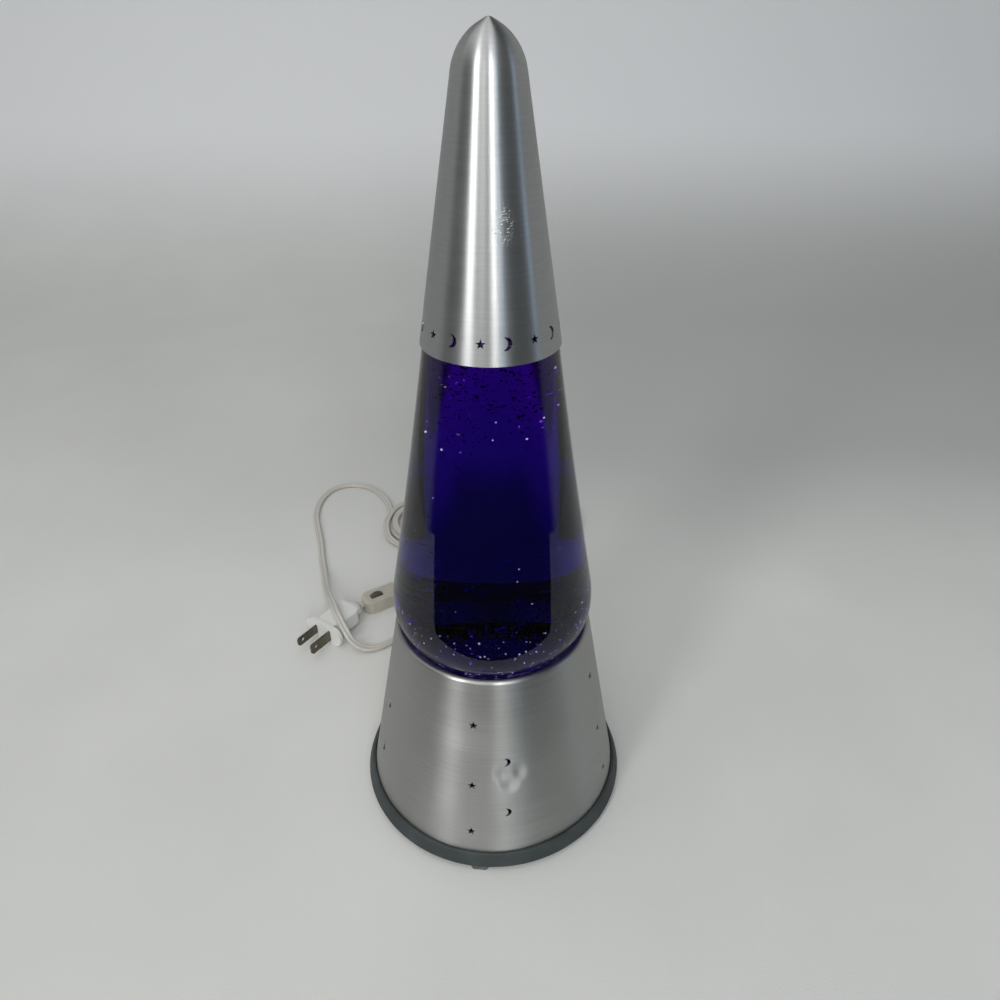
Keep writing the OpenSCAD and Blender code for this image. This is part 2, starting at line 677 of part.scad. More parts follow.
// Blown bottle: bowl, belly, tapered flank, shoulder and a neck with its finish
module globe_glass() {
    inside_r = neck_r - glass_t;
    push_up = 2;
    outer = concat([[0, globe_z + push_up], [bowl_x - 2 * push_up, globe_z]], globe_low(0, globe_z),
        globe_flank(0, flank_top), globe_high(0),
        [[neck_r, neck_z], [finish_r, neck_z + 1], [finish_r, finish_z - 2 * finish_edge],
            [finish_r - finish_edge, finish_z]]);
    inner = concat([[0, globe_z + glass_bottom_t + 1]], globe_low(glass_t, globe_z + glass_bottom_t),
        globe_flank(glass_t, flank_top), globe_high(glass_t), [[inside_r, finish_z]]);
    color("mediumpurple", 0.4) rotate_extrude($fn = 128) polygon(concat(outer, reversed(inner)));
}

// Dyed liquid that fills the globe up into the cap
module globe_liquid() {
    inset = glass_t + liquid_gap;
    low = globe_z + glass_bottom_t + liquid_gap;
    outline = concat([[0, low + 1]], globe_low(inset, low), globe_flank(inset, liquid_z));
    color("indigo", 0.8) rotate_extrude($fn = 128) polygon(concat(outline, [[0, liquid_z]]));
}

// Metallic flakes hanging in the liquid, most of them low down
module glitter_flakes() {
    flake_t = 0.15;
    seed = 7;
    low = globe_z + glass_bottom_t + 4;
    tall = liquid_z - 4 - low;
    draws = [for (k = [0:4]) rands(0, 1, flake_count, seed + k)];
    color("silver") for (i = [0:flake_count - 1]) {
        z = low + tall * pow(draws[0][i], 1.8);
        room_r = z < flank_low[1] ? bowl_x : flank_r(z) - glass_t - 3 * flake_r;
        rotate(360 * draws[1][i]) translate([room_r * sqrt(draws[2][i]), 0, z])
            rotate([180 * draws[3][i], 180 * draws[4][i], 0])
                cylinder(r = flake_r, h = flake_t, $fn = 6);
    }
}

// Soft sealing disc under the crown closure
module crown_liner() {
    color("whitesmoke") translate([0, 0, finish_z]) cylinder(r = finish_r - finish_edge, h = liner_t);
}

// Pressed steel crown closure with a fluted skirt
module crown_closure() {
    top = finish_z + liner_t;
    low = top - crown_skirt;
    skirt_r = crown_d / 2 - flute_r * 0.6;
    top_r = finish_r + seat_gap;
    corner = 0.6;
    color("silver") {
        rotate_extrude() polygon([
            [0, top], [top_r - corner, top], [top_r, top - corner], [skirt_r - crown_t, low],
            [skirt_r, low], [top_r + crown_t, top - corner],
            [top_r + crown_t - corner, top + crown_t], [0, top + crown_t]]);
        for (k = [0:flute_count - 1]) rotate(360 * k / flute_count)
            translate([skirt_r - flute_r * 0.4, 0, low])
                cylinder(r1 = flute_r, r2 = flute_r * 0.4, h = crown_skirt * 0.5, $fn = 24);
    }
}

// Spun cap: a straight cone, a round turn, a blunt nose and a row of punched holes
module globe_cap() {
    pair_pitch = 360 / cap_pairs;
    moon_step = 0.44 * pair_pitch;
    z = cap_z + cap_row;
    function nose(inset) = arc(nose_at, nose_turn_r - inset, cap_lean, nose_half, 10);
    color("lightgray") difference() {
        rotate_extrude($fn = 128) polygon(concat(
            [[cap_r, cap_z]], nose(0), arc(tip_at, tip_r, nose_half, 90, 6),
            [[0, apex_z - cap_t / sin(nose_half)]], reversed(nose(cap_t)), [[cap_r - cap_run, cap_z]]));
        for (k = [0:cap_pairs - 1]) {
            turn = cap_turn + pair_pitch * k;
            punched(turn, z, cap_wall_r(z), cap_lean, cap_t) star(cap_star_r);
            punched(turn + moon_step, z, cap_wall_r(z), cap_lean, cap_t) crescent(cap_moon_r);
        }
    }
}

// Cord inside the base: under the floor to the middle and up through the stem
module inner_cord() {
    color("tan") rotate(exit_turn + 180)
        swept(inner_route, eight_sides, [0, -1, 0], [0, 0, 1], [1, 0, 0]);
}

// Tapered boot clipped in the notch of the ring
module cord_boot() {
    slice = 0.2;
    tip = [cord_w + 1.4, cord_t + 1.2];
    module section(y, w, h) {
        translate([0, y, boot_z]) rotate([90, 0, 0])
            linear_extrude(slice, center = true) rounded(w, h, h / 2 - 0.1);
    }
    color("tan") rotate(exit_turn + 180) {
        hull() {
            section(ring_r - 0.4, boot_w, boot_h, $fn = 24);
            section(boot_out - slice / 2, tip[0], tip[1], $fn = 24);
        }
        translate([0, ring_r - 0.3, boot_z]) rotate([90, 0, 0])
            linear_extrude(ring_r - 0.3 - boot_in) rounded(boot_w, boot_h, boot_h / 2 - 0.1);
    }
}

// Free cord from the boot round the plug to the hank
module cord_lead() {
    color("tan") swept(smooth(lead_route, 2), eight_sides, exit_dir, hank_dir);
}

// Put-away length of the cord, wound in loops behind the base
module cord_hank() {
    color("tan") swept(hank_points(loop_rings), six_sides, hank_dir, hank_dir);
}

// Paper band round the waist of the hank
module hank_tie() {
    half = hank_in(hank_loops - 0.25) - hank_waist + cord_w / 2 + 0.5;
    tall = layer_z[1] + cord_t / 2 + 0.3 + tie_t;
    tie_l = 8;
    color("white") translate([hank_at[0] - tie_l / 2, hank_at[1], tall / 2]) rotate([90, 0, 90])
        linear_extrude(tie_l) difference() {
            rounded(2 * (half + tie_t), tall, 2);
            rounded(2 * half, tall - 2 * tie_t, 2 - tie_t);
        }
}

// Cord from the hank to the switch
module cord_tail() {
    color("tan") swept(smooth(tail_route, 2), eight_sides, hank_dir, -switch_dir);
}

// Short cord between the switch and the plug
module cord_pigtail() {
    color("tan") swept(smooth(pigtail_route, 2), eight_sides, -plug_dir, switch_dir);
}

module at_switch() {
    translate(switch_at) rotate(switch_turn) children();
}

// Whole form of the switch, with room for the wheel and its axle
module switch_form() {
    crown_turn = 3.5;
    corner = 6;
    wheel_room = 0.5;
    screw_hole_h = past + switch_screw_low + switch_screw_h + fit_gap;
    difference() {
        intersection() {
            linear_extrude(switch_h) rounded(switch_l, switch_w, corner);
            rotate([90, 0, 0]) linear_extrude(switch_w, center = true) polygon(concat(
                [[-switch_l / 2, 0], [switch_l / 2, 0]],
                arc([switch_l / 2 - crown_turn, switch_h - crown_turn], crown_turn, 0, 90, 8),
                arc([crown_turn - switch_l / 2, switch_h - crown_turn], crown_turn, 90, 180, 8)));
        }
        translate([wheel_x, 0, split_z]) rotate([90, 0, 0]) {
            cylinder(r = wheel_d / 2 + wheel_room, h = wheel_w + 2 * wheel_room, center = true);
            cylinder(r = axle_r + run_gap, h = 2 * (axle_half + fit_gap), center = true);
        }
        for (s = [-1, 1]) translate(concat(s * switch_screw_at, -past))
            cylinder(r = switch_screw_r + press_gap, h = screw_hole_h);
    }
}

// Lower half of the clear switch housing
module switch_bottom() {
    color("wheat", 0.7) at_switch() intersection() {
        switch_form();
        translate([-switch_l, -switch_w, 0]) cube([2 * switch_l, 2 * switch_w, split_z]);
    }
}

// Upper half of the switch housing, with the slot for the wheel
module switch_top() {
    color("wheat", 0.7) at_switch() intersection() {
        switch_form();
        translate([-switch_l, -switch_w, split_z]) cube([2 * switch_l, 2 * switch_w, switch_h]);
    }
}

// Two small screws that hold the halves together
module switch_screws() {
    color("silver") at_switch() for (s = [-1, 1])
        translate(concat(s * switch_screw_at, switch_screw_low))
            cylinder(r = switch_screw_r, h = switch_screw_h);
}

// Knurled thumbwheel
module thumbwheel() {
    grips = 20;
    grip_r = 0.45;
    color("dimgray") at_switch() translate([wheel_x, 0, split_z]) rotate([90, 0, 0])
        linear_extrude(wheel_w, center = true) difference() {
            circle(wheel_d / 2);
            for (k = [0:grips - 1]) rotate(360 * k / grips) translate([wheel_d / 2 + 0.1, 0])
                circle(grip_r, $fn = 16);
            circle(axle_r + press_gap);
        }
}

// Steel axle of the thumbwheel, turning in the housing
module wheel_axle() {
    color("gray") at_switch() translate([wheel_x, 0, split_z]) rotate([90, 0, 0])
        cylinder(r = axle_r, h = 2 * axle_half, center = true);
}

module at_plug() {
    translate(plug_at + [0, 0, plug_z]) rotate(plug_turn) children();
}

// White plug: oval flange, grip body with a waist and a tapered neck
module plug_body() {
    grip = 3;
    waist_x = -flange_t - 5;
    back = -flange_t - plug_l;
    corner = 4;
    edge = 2.4;
    neck = [11, 8];
    half = plug_w / 2;
    color("white") at_plug() {
        difference() {
            translate([-flange_t, 0, 0]) rotate([90, 0, 90])
                linear_extrude(flange_t) rounded(flange_w, flange_h, flange_h / 2 - 0.1);
            for (s = [0, 1]) translate([-flange_t / 2, (s - 0.5) * blade_pitch, 0])
                cube([flange_t + 2 * past, blade_t, blade_heights[s]], center = true);
        }
        intersection() {
            translate([0, 0, -plug_h / 2]) linear_extrude(plug_h) polygon(concat(
                [[-flange_t, grip - half], [-flange_t, half - grip], [waist_x, half - grip / 3]],
                arc([back + corner, half - corner], corner, 90, 180, 6),
                arc([back + corner, corner - half], corner, 180, 270, 6),
                [[waist_x, grip / 3 - half]]));
            rotate([90, 0, 90]) translate([0, 0, back - past])
                linear_extrude(plug_l + flange_t + 2 * past) rounded(plug_w, plug_h, edge);
        }
        translate([back - plug_neck, 0, 0]) rotate([90, 0, 90])
            linear_extrude(plug_neck) rounded(neck[0], neck[1], edge);
    }
}

// Two flat blades with a hole near the tip, one wider than the other
module plug_blades() {
    hole_r = 1.6;
    hole_back = 4.5;
    tip = 1.2;
    color("darkkhaki") at_plug() for (s = [0, 1]) let (half = blade_heights[s] / 2)
        translate([0, (s - 0.5) * blade_pitch, 0]) rotate([90, 0, 0])
            linear_extrude(blade_t, center = true) difference() {
                polygon([[-flange_t, -half], [blade_l - tip, -half], [blade_l, tip - half],
                    [blade_l, half - tip], [blade_l - tip, half], [-flange_t, half]]);
                translate([blade_l - hole_back, 0]) circle(hole_r);
            }
}

foot_pads();
foot_ring();
base_shell();
holder_strap();
strap_screws();
stem_tube();
stem_nut();
lamp_holder();
screw_shell();
centre_contact();
bulb_cap();
bulb_contact();
bulb_glass();
bulb_mount();
bulb_filament();
globe_glass();
globe_liquid();
glitter_flakes();
crown_liner();
crown_closure();
globe_cap();
inner_cord();
cord_boot();
cord_lead();
cord_hank();
hank_tie();
cord_tail();
switch_bottom();
switch_top();
switch_screws();
thumbwheel();
wheel_axle();
cord_pigtail();
plug_body();
plug_blades();
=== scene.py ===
# Liquid motion lamp, dressed round its solids: spun aluminium base and cap, a glass globe of
# violet glitter liquid, and a clear twin cord with a thumbwheel switch and a two-blade plug.
# Metres, Z up, the axis of the lamp on Z and its front towards -Y.
import math

import bpy
import bmesh
import numpy as np
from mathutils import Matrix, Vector


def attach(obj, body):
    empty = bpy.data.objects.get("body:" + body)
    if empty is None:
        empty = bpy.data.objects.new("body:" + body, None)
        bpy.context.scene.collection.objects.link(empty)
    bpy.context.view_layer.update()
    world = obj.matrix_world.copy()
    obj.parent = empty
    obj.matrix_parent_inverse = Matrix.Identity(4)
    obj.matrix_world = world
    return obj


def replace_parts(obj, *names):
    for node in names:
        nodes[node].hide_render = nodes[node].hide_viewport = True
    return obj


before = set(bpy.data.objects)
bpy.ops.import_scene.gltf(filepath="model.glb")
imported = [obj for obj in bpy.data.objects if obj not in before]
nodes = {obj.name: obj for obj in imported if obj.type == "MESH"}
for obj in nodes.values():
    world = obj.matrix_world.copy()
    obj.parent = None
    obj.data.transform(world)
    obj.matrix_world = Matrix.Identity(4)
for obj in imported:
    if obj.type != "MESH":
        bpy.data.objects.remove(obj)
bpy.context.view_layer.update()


# Table top: a pale cloth that runs up behind the lamp as one seamless sweep. The metal and glass
# mirror a smaller one with its colour painted darker as painted shade, as a real table soon ends
# in a dim room. The globe shows only a strip with the lamp's own shadow painted into its colour.
class Wire:
    """A socket in a shader's node tree: arithmetic adds Math nodes, add() any other node."""

    # The Mix node's colour sockets, which share their names with its number and vector sockets
    FACTOR, COLOUR_A, COLOUR_B, COLOUR_OUT = 0, 6, 7, 2

    def __init__(self, tree, socket=None):
        self.tree, self.socket = tree, socket

    def add(self, kind, settings=None, sockets=None, out=0):
        node = self.tree.nodes.new("ShaderNode" + kind)
        for key, value in (settings or {}).items():
            setattr(node, key, value)
        for key, value in (sockets or {}).items():
            if isinstance(value, Wire):
                self.tree.links.new(value.socket, node.inputs[key])
            else:
                node.inputs[key].default_value = value
        return Wire(self.tree, node.outputs[out])

    def out(self, name):
        """Another output of the same node."""
        return Wire(self.tree, self.socket.node.outputs[name])

    def to(self, shader, name):
        self.tree.links.new(self.socket, shader.inputs[name])

    def math(self, operation, *values):
        return self.add("Math", {"operation": operation}, dict(enumerate(values)))

    def __add__(self, other):
        return self.math("ADD", self, other)

    def __radd__(self, other):
        return self.math("ADD", other, self)

    def __sub__(self, other):
        return self.math("SUBTRACT", self, other)

    def __rsub__(self, other):
        return self.math("SUBTRACT", other, self)

    def __mul__(self, other):
        return self.math("MULTIPLY", self, other)

    def __rmul__(self, other):
        return self.math("MULTIPLY", other, self)

    def step(self, low, high):
        """0 below low and 1 above high, smooth between them."""
        return self.add("MapRange", {"interpolation_type": "SMOOTHSTEP"},
                        {"Value": self, "From Min": low, "From Max": high})

    def mix(self, a, b):
        """Colour a where this wire is 0 and colour b where it is 1."""
        a, b = ((*colour, 1) if isinstance(colour, tuple) else colour for colour in (a, b))
        return self.add("Mix", {"data_type": "RGBA"},
                        {Wire.FACTOR: self, Wire.COLOUR_A: a, Wire.COLOUR_B: b}, Wire.COLOUR_OUT)


def place_on_piece(wire):
    """The X of a point on a piece, with its Y and Z on the other outputs."""
    return wire.add("SeparateXYZ", {}, {"Vector": wire.add("TexCoord", out="Object")})


def mottle(wire, scale, detail=2.0):
    """Noise that lies still on a piece, with about this many patches to a metre."""
    place = wire.add("TexCoord", out="Object")
    return wire.add("TexNoise", {}, {"Vector": place, "Scale": scale, "Detail": detail})


def new_finish(name, **constants):
    """A material with these constants on its shader's own sockets, a first wire and its shader."""
    material = bpy.data.materials.new(name)
    material.use_nodes = True
    shader = material.node_tree.nodes["Principled BSDF"]
    for key, value in constants.items():
        shader.inputs[key.replace("_", " ")].default_value = value
    return material, Wire(material.node_tree), shader


def new_piece(name, points, faces, material):
    """A smooth piece of these points in metres, with its place in its mesh."""
    mesh = bpy.data.meshes.new(name)
    mesh.from_pydata([tuple(p) for p in points], [], faces)
    mesh.materials.append(material)
    mesh.polygons.foreach_set("use_smooth", [True] * len(faces))
    piece = bpy.data.objects.new(name, mesh)
    bpy.context.scene.collection.objects.link(piece)
    return piece


def cloth_strip(name, line, half, material, rays):
    """A strip of cloth along a line of (y, z) points, twice half wide, that these rays meet."""
    points = [(x, y, z) for y, z in line for x in (-half, half)]
    faces = [(2 * i, 2 * i + 1, 2 * i + 3, 2 * i + 2) for i in range(len(line) - 1)]
    strip = new_piece(name, points, faces, material)
    for ray in ("camera", "diffuse", "glossy", "transmission", "shadow"):
        setattr(strip, "visible_" + ray, ray in rays)


CLOTH = {"Roughness": 0.9, "Specular_IOR_Level": 0.2}
CREASES, WEAVE = 5.0, 900.0
FAR_HALF, TABLE_HALF, TABLE_FRONT = 9.0, 0.5, -0.17
SWEEP_AT, SWEEP_R, SWEEP_TOP = 0.75, 0.55, 2.6
sweep = [(TABLE_FRONT, 0), (0, 0), (SWEEP_AT, 0)]
sweep += [(SWEEP_AT + SWEEP_R * math.sin(a), SWEEP_R * (1 - math.cos(a)))
          for a in np.radians(range(5, 91, 5))]
wall_top = (SWEEP_AT + SWEEP_R, SWEEP_TOP)

cloth, wire, shader = new_finish("table_cloth", **CLOTH)
place = place_on_piece(wire)
creases, weave = mottle(wire, CREASES, 3.0), mottle(wire, WEAVE, 1.0)
# Painted shade: the flat cloth behind the lamp, most of all to the right, is painted darker where
# shade falls on it
shaded_side = place.out("Y").step(0.12, 0.4) * (0.25 + 0.75 * place.step(-0.25, 0.15))
open_cloth = creases.step(0.3, 0.75).mix((0.68, 0.68, 0.648), (0.735, 0.735, 0.702))
flat_cloth = shaded_side.mix(open_cloth, (0.505, 0.51, 0.493))
# Painted light: the sweep is painted paler as it rises into the wall, in place of light on the
# backdrop
place.out("Z").step(0.0, 0.22).mix(flat_cloth, (0.865, 0.87, 0.875)).to(shader, "Base Color")
folds = creases + weave * 0.05
wire.add("Bump", {}, {"Strength": 0.35, "Distance": 0.004, "Height": folds}).to(shader, "Normal")
cloth_strip("table", [(-FAR_HALF, 0)] + sweep, FAR_HALF, cloth,
            ("camera", "diffuse", "transmission", "shadow"))
cloth_strip("wall", [sweep[-1], wall_top], FAR_HALF, cloth, ("camera", "diffuse", "shadow"))

MIRROR_LIFT = 0.0004
# Painted shade: this copy of the cloth is painted darker, so that the metal and glass mirror a
# dimmer table
mirrored_cloth, wire, shader = new_finish("mirrored_cloth", **CLOTH)
creases = mottle(wire, CREASES, 3.0).step(0.3, 0.75)
creases.mix((0.50, 0.50, 0.485), (0.55, 0.55, 0.535)).to(shader, "Base Color")
cloth_strip("table_mirrored", [(y, z + MIRROR_LIFT) for y, z in sweep + [wall_top]], TABLE_HALF,
            mirrored_cloth, ("glossy",))

SHADE_FROM, SHADE_TO, SHADE_HALF, OVER_CORD = 0.10, 0.45, 0.28, 0.0138
shaded_cloth, wire, shader = new_finish("shaded_cloth", **CLOTH)
place = place_on_piece(wire)
aside, behind = wire.math("ABSOLUTE", place), place.out("Y")
# Painted shadow: the lamp's shadow behind it and darker shade on the flanks are painted into this
# strip's colour
lamp_shade = (1 - aside.step(0.028, 0.062)) * (1 - behind.step(0.200, 0.255))
flank_shade = aside.step(0.10, 0.13) * behind.step(0.18, 0.23)
shaded = lamp_shade.mix((0.66, 0.66, 0.65), (0.29, 0.29, 0.285))
flank_shade.mix(shaded, (0.17, 0.17, 0.17)).to(shader, "Base Color")
cloth_strip("table_through_globe", [(SHADE_FROM, OVER_CORD), (SHADE_TO, OVER_CORD)], SHADE_HALF,
            shaded_cloth, ("transmission",))


# Room: a wide soft light overhead, tall strip lights in front that draw the bright lines down the
# metal, a bluish edge light, and the violet light that a full globe gathers in its seat. The walls
# are pale behind the lamp and dim in front of it.
def soft_light(name, place, aim, size, power, shade=(1, 1, 1)):
    lamp = bpy.data.lights.new(name, "AREA")
    lamp.shape, lamp.size, lamp.size_y = "RECTANGLE", *size
    lamp.energy, lamp.color = power, shade
    light = bpy.data.objects.new(name, lamp)
    light.location = place
    light.rotation_euler = (Vector(aim) - Vector(place)).to_track_quat("-Z", "Y").to_euler()
    light.visible_camera = False
    bpy.context.scene.collection.objects.link(light)
    return light


def round_front(angle, far, height):
    """A place at an angle from the front, to the right of the camera where it is positive."""
    return far * math.sin(math.radians(angle)), -far * math.cos(math.radians(angle)), height


overhead = soft_light("overhead", (-0.5, 0.0, 2.2), (0, 0.1, 0), (2.6, 2.2), 15)
overhead.visible_transmission = False

STRIP_AIM, STRIP_Z, STRIP_H = (0, 0, 0.30), 0.86, 0.92
WHITE, EDGE_BLUE, FILL_BLUE = (1, 1, 1), (0.75, 0.88, 1.0), (0.72, 0.88, 1.0)
strips = [soft_light(name, round_front(angle, far, STRIP_Z), STRIP_AIM, (width, STRIP_H), power,
                     shade)
          for name, angle, far, width, power, shade in (
              ("strip_left", -37, 1.40, 0.30, 7.4, WHITE),
              ("strip_front", 7, 1.40, 0.20, 5.4, WHITE),
              ("strip_edge", 19, 1.40, 0.16, 1.6, EDGE_BLUE),
              ("between", -15, 1.45, 0.40, 2.4, WHITE))]
strips.append(soft_light("blue_fill", round_front(24, 1.6, 1.0), STRIP_AIM, (0.8, 1.3), 0.45,
                         FILL_BLUE))
gathered = soft_light("gathered_by_globe", (0, 0, 0.03), (0, 0, 1), (0.07, 0.07), 0.009,
                      (0.25, 0.12, 1.0))
soft_light("blue_right", round_front(78, 1.2, 0.6), (0, 0, 0.25), (0.12, 0.9), 0.45,
           (0.55, 0.75, 1.0))

world = bpy.data.worlds.new("room")
bpy.context.scene.world = world
world.use_nodes = True
world.node_tree.nodes.clear()
wire = Wire(world.node_tree)
towards = wire.add("SeparateXYZ", {}, {"Vector": wire.add("TexCoord", out="Generated")})
rise, at_back = towards.out("Z"), towards.out("Y").step(-0.22, 0.0)
raised = rise.step(0.0, 0.35)
front = rise.step(-0.12, 0.05).mix((0.015, 0.015, 0.016), (0.118, 0.125, 0.131))
front = raised.mix(front, (0.165, 0.175, 0.184))
walls = at_back.mix(front, raised.mix((0.29, 0.295, 0.295), (0.35, 0.358, 0.36)))
walls = (rise.step(0.5, 0.8) * at_back).mix(walls, (0.06, 0.06, 0.062))
seen = wire.add("LightPath", out="Is Camera Ray").mix(walls, (0.62, 0.63, 0.63))
room = world.node_tree.nodes.new("ShaderNodeOutputWorld")
wire.add("Background", {}, {"Color": seen}).to(room, "Surface")

CAMERA_AT, CAMERA_DOWN, CAMERA_TURN = (0, -0.293, 0.3682), 32.81, 0.74
SENSOR_MM, LENS_MM = 36, 27.04
lens = bpy.data.cameras.new("camera")
lens.sensor_width, lens.lens = SENSOR_MM, LENS_MM
camera = bpy.data.objects.new("camera", lens)
camera.location = CAMERA_AT
camera.rotation_euler = (math.radians(90 - CAMERA_DOWN), 0, math.radians(-CAMERA_TURN))
bpy.context.scene.collection.objects.link(camera)
bpy.context.scene.camera = camera
bpy.context.scene.view_settings.view_transform = "Standard"


# Foot ring: a dark slate moulding with a fine satin grain, greyer where hands rub its edge.
# Three soft rubber feet are pressed into it from below.
def dress(material, *names):
    for name in names:
        nodes[name].data.materials.clear()
        nodes[name].data.materials.append(material)


slate, wire, shader = new_finish("slate_plastic", Specular_IOR_Level=0.4)
grain, rubs = mottle(wire, 2600.0), mottle(wire, 60.0, 4.0)
rubs.step(0.35, 0.8).mix((0.034, 0.042, 0.042), (0.056, 0.068, 0.068)).to(shader, "Base Color")
(0.42 + rubs * 0.2).to(shader, "Roughness")
wire.add("Bump", {}, {"Strength": 0.15, "Distance": 0.0002, "Height": grain}).to(shader, "Normal")
dress(slate, "foot_ring")

rubber, wire, shader = new_finish("foot_rubber", Specular_IOR_Level=0.3)
dust = mottle(wire, 400.0, 5.0)
dust.step(0.4, 0.7).mix((0.10, 0.10, 0.10), (0.16, 0.16, 0.155)).to(shader, "Base Color")
(0.7 + dust * 0.2).to(shader, "Roughness")
dress(rubber, "foot_pads")


# Base shell: a cone of aluminium sheet, spun, brushed round its axis and punched with stars and
# crescents. Its rim is rolled, and a knock has left a shallow dent with three hollows in front.
def brushed(name, seed, tint, dent=(), scuff=None, inside_shade=None):
    """Aluminium brushed round Z: fine lines, faint bands, smudges, a dent or a scuff, and inside
    a painted shade of another tone."""
    material, wire, shader = new_finish(name, Metallic=1.0, Anisotropic=0.88,
                                        Anisotropic_Rotation=0.25)
    place = wire.add("TexCoord", out="Object")
    x = wire.add("SeparateXYZ", {}, {"Vector": place})
    y, z = x.out("Y"), x.out("Z")
    turn = wire.math("ARCTAN2", y, x)

    def streaks(detail, **way):
        """Noise drawn out along a way that is made of the turn and the height."""
        drawn = wire.add("CombineXYZ", {}, way)
        return wire.add("TexNoise", {}, {"Vector": drawn, "Scale": 1.0, "Detail": detail})

    def far(spot, tall):
        """How far a point is from a spot, with heights counted less where tall is more than 1."""
        short = wire.add("VectorMath", {"operation": "MULTIPLY"}, {0: place, 1: (1, 1, 1 / tall)})
        spot = (spot[0], spot[1], spot[2] / tall)
        return wire.add("VectorMath", {"operation": "DISTANCE"}, {0: short, 1: spot}, "Value")

    def pressed(height, strength, depth, **skin):
        """A skin pressed in by a depth in metres, over another skin where Normal gives one."""
        bump = {"Strength": strength, "Distance": depth, "Height": height, **skin}
        return wire.add("Bump", {}, bump)

    lines = streaks(2.0, X=turn * 2.0, Y=z * 6400.0, Z=seed)
    bands = streaks(3.0, X=turn * 1.2, Y=z * 900.0, Z=seed)
    smudge = mottle(wire, 26.0, 4.0).step(0.42, 0.72)
    dull, bright = tuple(0.92 * t for t in tint), tuple(1.06 * t for t in tint)
    tone = (lines * 0.5 + bands * 0.5).step(0.3, 0.7).mix(dull, bright)
    rough = 0.34 + bands * 0.06 + smudge * 0.06
    skin = pressed(lines + bands, 0.05, 0.0001)
    if dent:
        hollow = math.prod(far(spot, tall=1.3).step(0.0, reach) for spot, reach in dent)
        skin = pressed(hollow, 0.5, 0.0011, Normal=skin)
    if scuff:
        spot, reach = scuff
        cuts = streaks(1.0, X=turn * 14.0, Y=z * 2600.0 - turn * 20.0).step(0.61, 0.65)
        cuts = cuts * (1 - far(spot, tall=1.8).step(0.4 * reach, reach))
        tone, rough = cuts.mix(tone, (0.95, 0.96, 0.96)), rough + cuts * 0.2
        (1 - cuts).to(shader, "Metallic")
        skin = pressed(cuts, 0.5, 0.0008, Normal=skin)
    # Painted shade: the inside of the shell is painted in this dark tone, so that the punched holes
    # look black
    if inside_shade:
        facing = wire.add("SeparateXYZ", {}, {"Vector": wire.add("TexCoord", out="Normal")})
        outside = (facing * x + facing.out("Y") * y).step(-0.012, -0.008)
        tone = outside.mix(inside_shade, tone)
    tone.to(shader, "Base Color")
    rough.to(shader, "Roughness")
    skin.to(shader, "Normal")
    return material


# A face that looks more to the side than this is in a punched hole, and one that looks less
# outward or inward than this is on an edge
HOLE_WALL, EDGE_FACE = 0.12, 0.2


def spun(name, node, low, high, material):
    """A copy of a spun shell that is shaded as one turned surface between two heights, so that the
    punched holes leave no kinks in the light that runs down it."""
    mesh = nodes[node].data.copy()
    points = np.empty(3 * len(mesh.vertices))
    corners = np.empty(len(mesh.loops), dtype=np.int32)
    normals = np.empty(3 * len(mesh.loops))
    mesh.vertices.foreach_get("co", points)
    mesh.loops.foreach_get("vertex_index", corners)
    mesh.corner_normals.foreach_get("vector", normals)
    at, normals = points.reshape(-1, 3)[corners].reshape(-1, 3, 3), normals.reshape(-1, 3, 3)
    flat = np.cross(at[:, 1] - at[:, 0], at[:, 2] - at[:, 0])
    flat /= np.linalg.norm(flat, axis=1)[:, None] + 1e-20
    middle = at.mean(axis=1)
    out = middle[:, :2] / np.linalg.norm(middle[:, :2], axis=1)[:, None]
    outward = (flat[:, :2] * out).sum(axis=1)
    around = flat[:, 1] * out[:, 0] - flat[:, 0] * out[:, 1]
    turned = (middle[:, 2] > low) & (middle[:, 2] < high) & (abs(around) < HOLE_WALL)
    for side in (1, -1):
        wall = turned & (outward * side > EDGE_FACE)
        order = np.argsort(middle[wall, 2])
        lean = np.arctan2(flat[wall, 2], outward[wall] * side)
        corner = at[wall]
        corner_lean = np.interp(corner[..., 2], middle[wall, 2][order], lean[order])
        away = side * corner[..., :2] / np.linalg.norm(corner[..., :2], axis=2)[..., None]
        normals[wall] = np.concatenate([away * np.cos(corner_lean)[..., None],
                                        np.sin(corner_lean)[..., None]], axis=2)
    mesh.normals_split_custom_set(normals.reshape(-1, 3))
    mesh.materials.clear()
    mesh.materials.append(material)
    shell = bpy.data.objects.new(name, mesh)
    bpy.context.scene.collection.objects.link(shell)
    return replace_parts(shell, node)


DENT = [((0.0048, -0.0589, 0.0585), 0.0064), ((0.0120, -0.0579, 0.0585), 0.0058),
        ((0.0078, -0.0596, 0.0530), 0.0062)]
SHELL_LOW, SHELL_RIM = 0.008, 0.1065
base_metal = brushed("base_aluminium", 2.0, (0.535, 0.537, 0.515), dent=DENT)
base_shell = spun("spun_base", "base_shell", SHELL_LOW, SHELL_RIM, base_metal)
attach(base_shell, "base")
lit_shell = bpy.data.collections.new("lit_through_globe")
lit_shell.objects.link(base_shell)
gathered.light_linking.receiver_collection = lit_shell


# Inside the base: a zinc-plated strap, its screws and the nut of the stem hold a porcelain lamp
# holder with a brass screw shell over the floor of the ring.
def plated(name, shade, rough, scale):
    """Bare or plated metal with darker stains of this scale."""
    material, wire, shader = new_finish(name, Metallic=1.0)
    stain = mottle(wire, scale, 5.0)
    stain.step(0.3, 0.75).mix(tuple(0.75 * s for s in shade), shade).to(shader, "Base Color")
    (rough + stain * 0.2).to(shader, "Roughness")
    return material


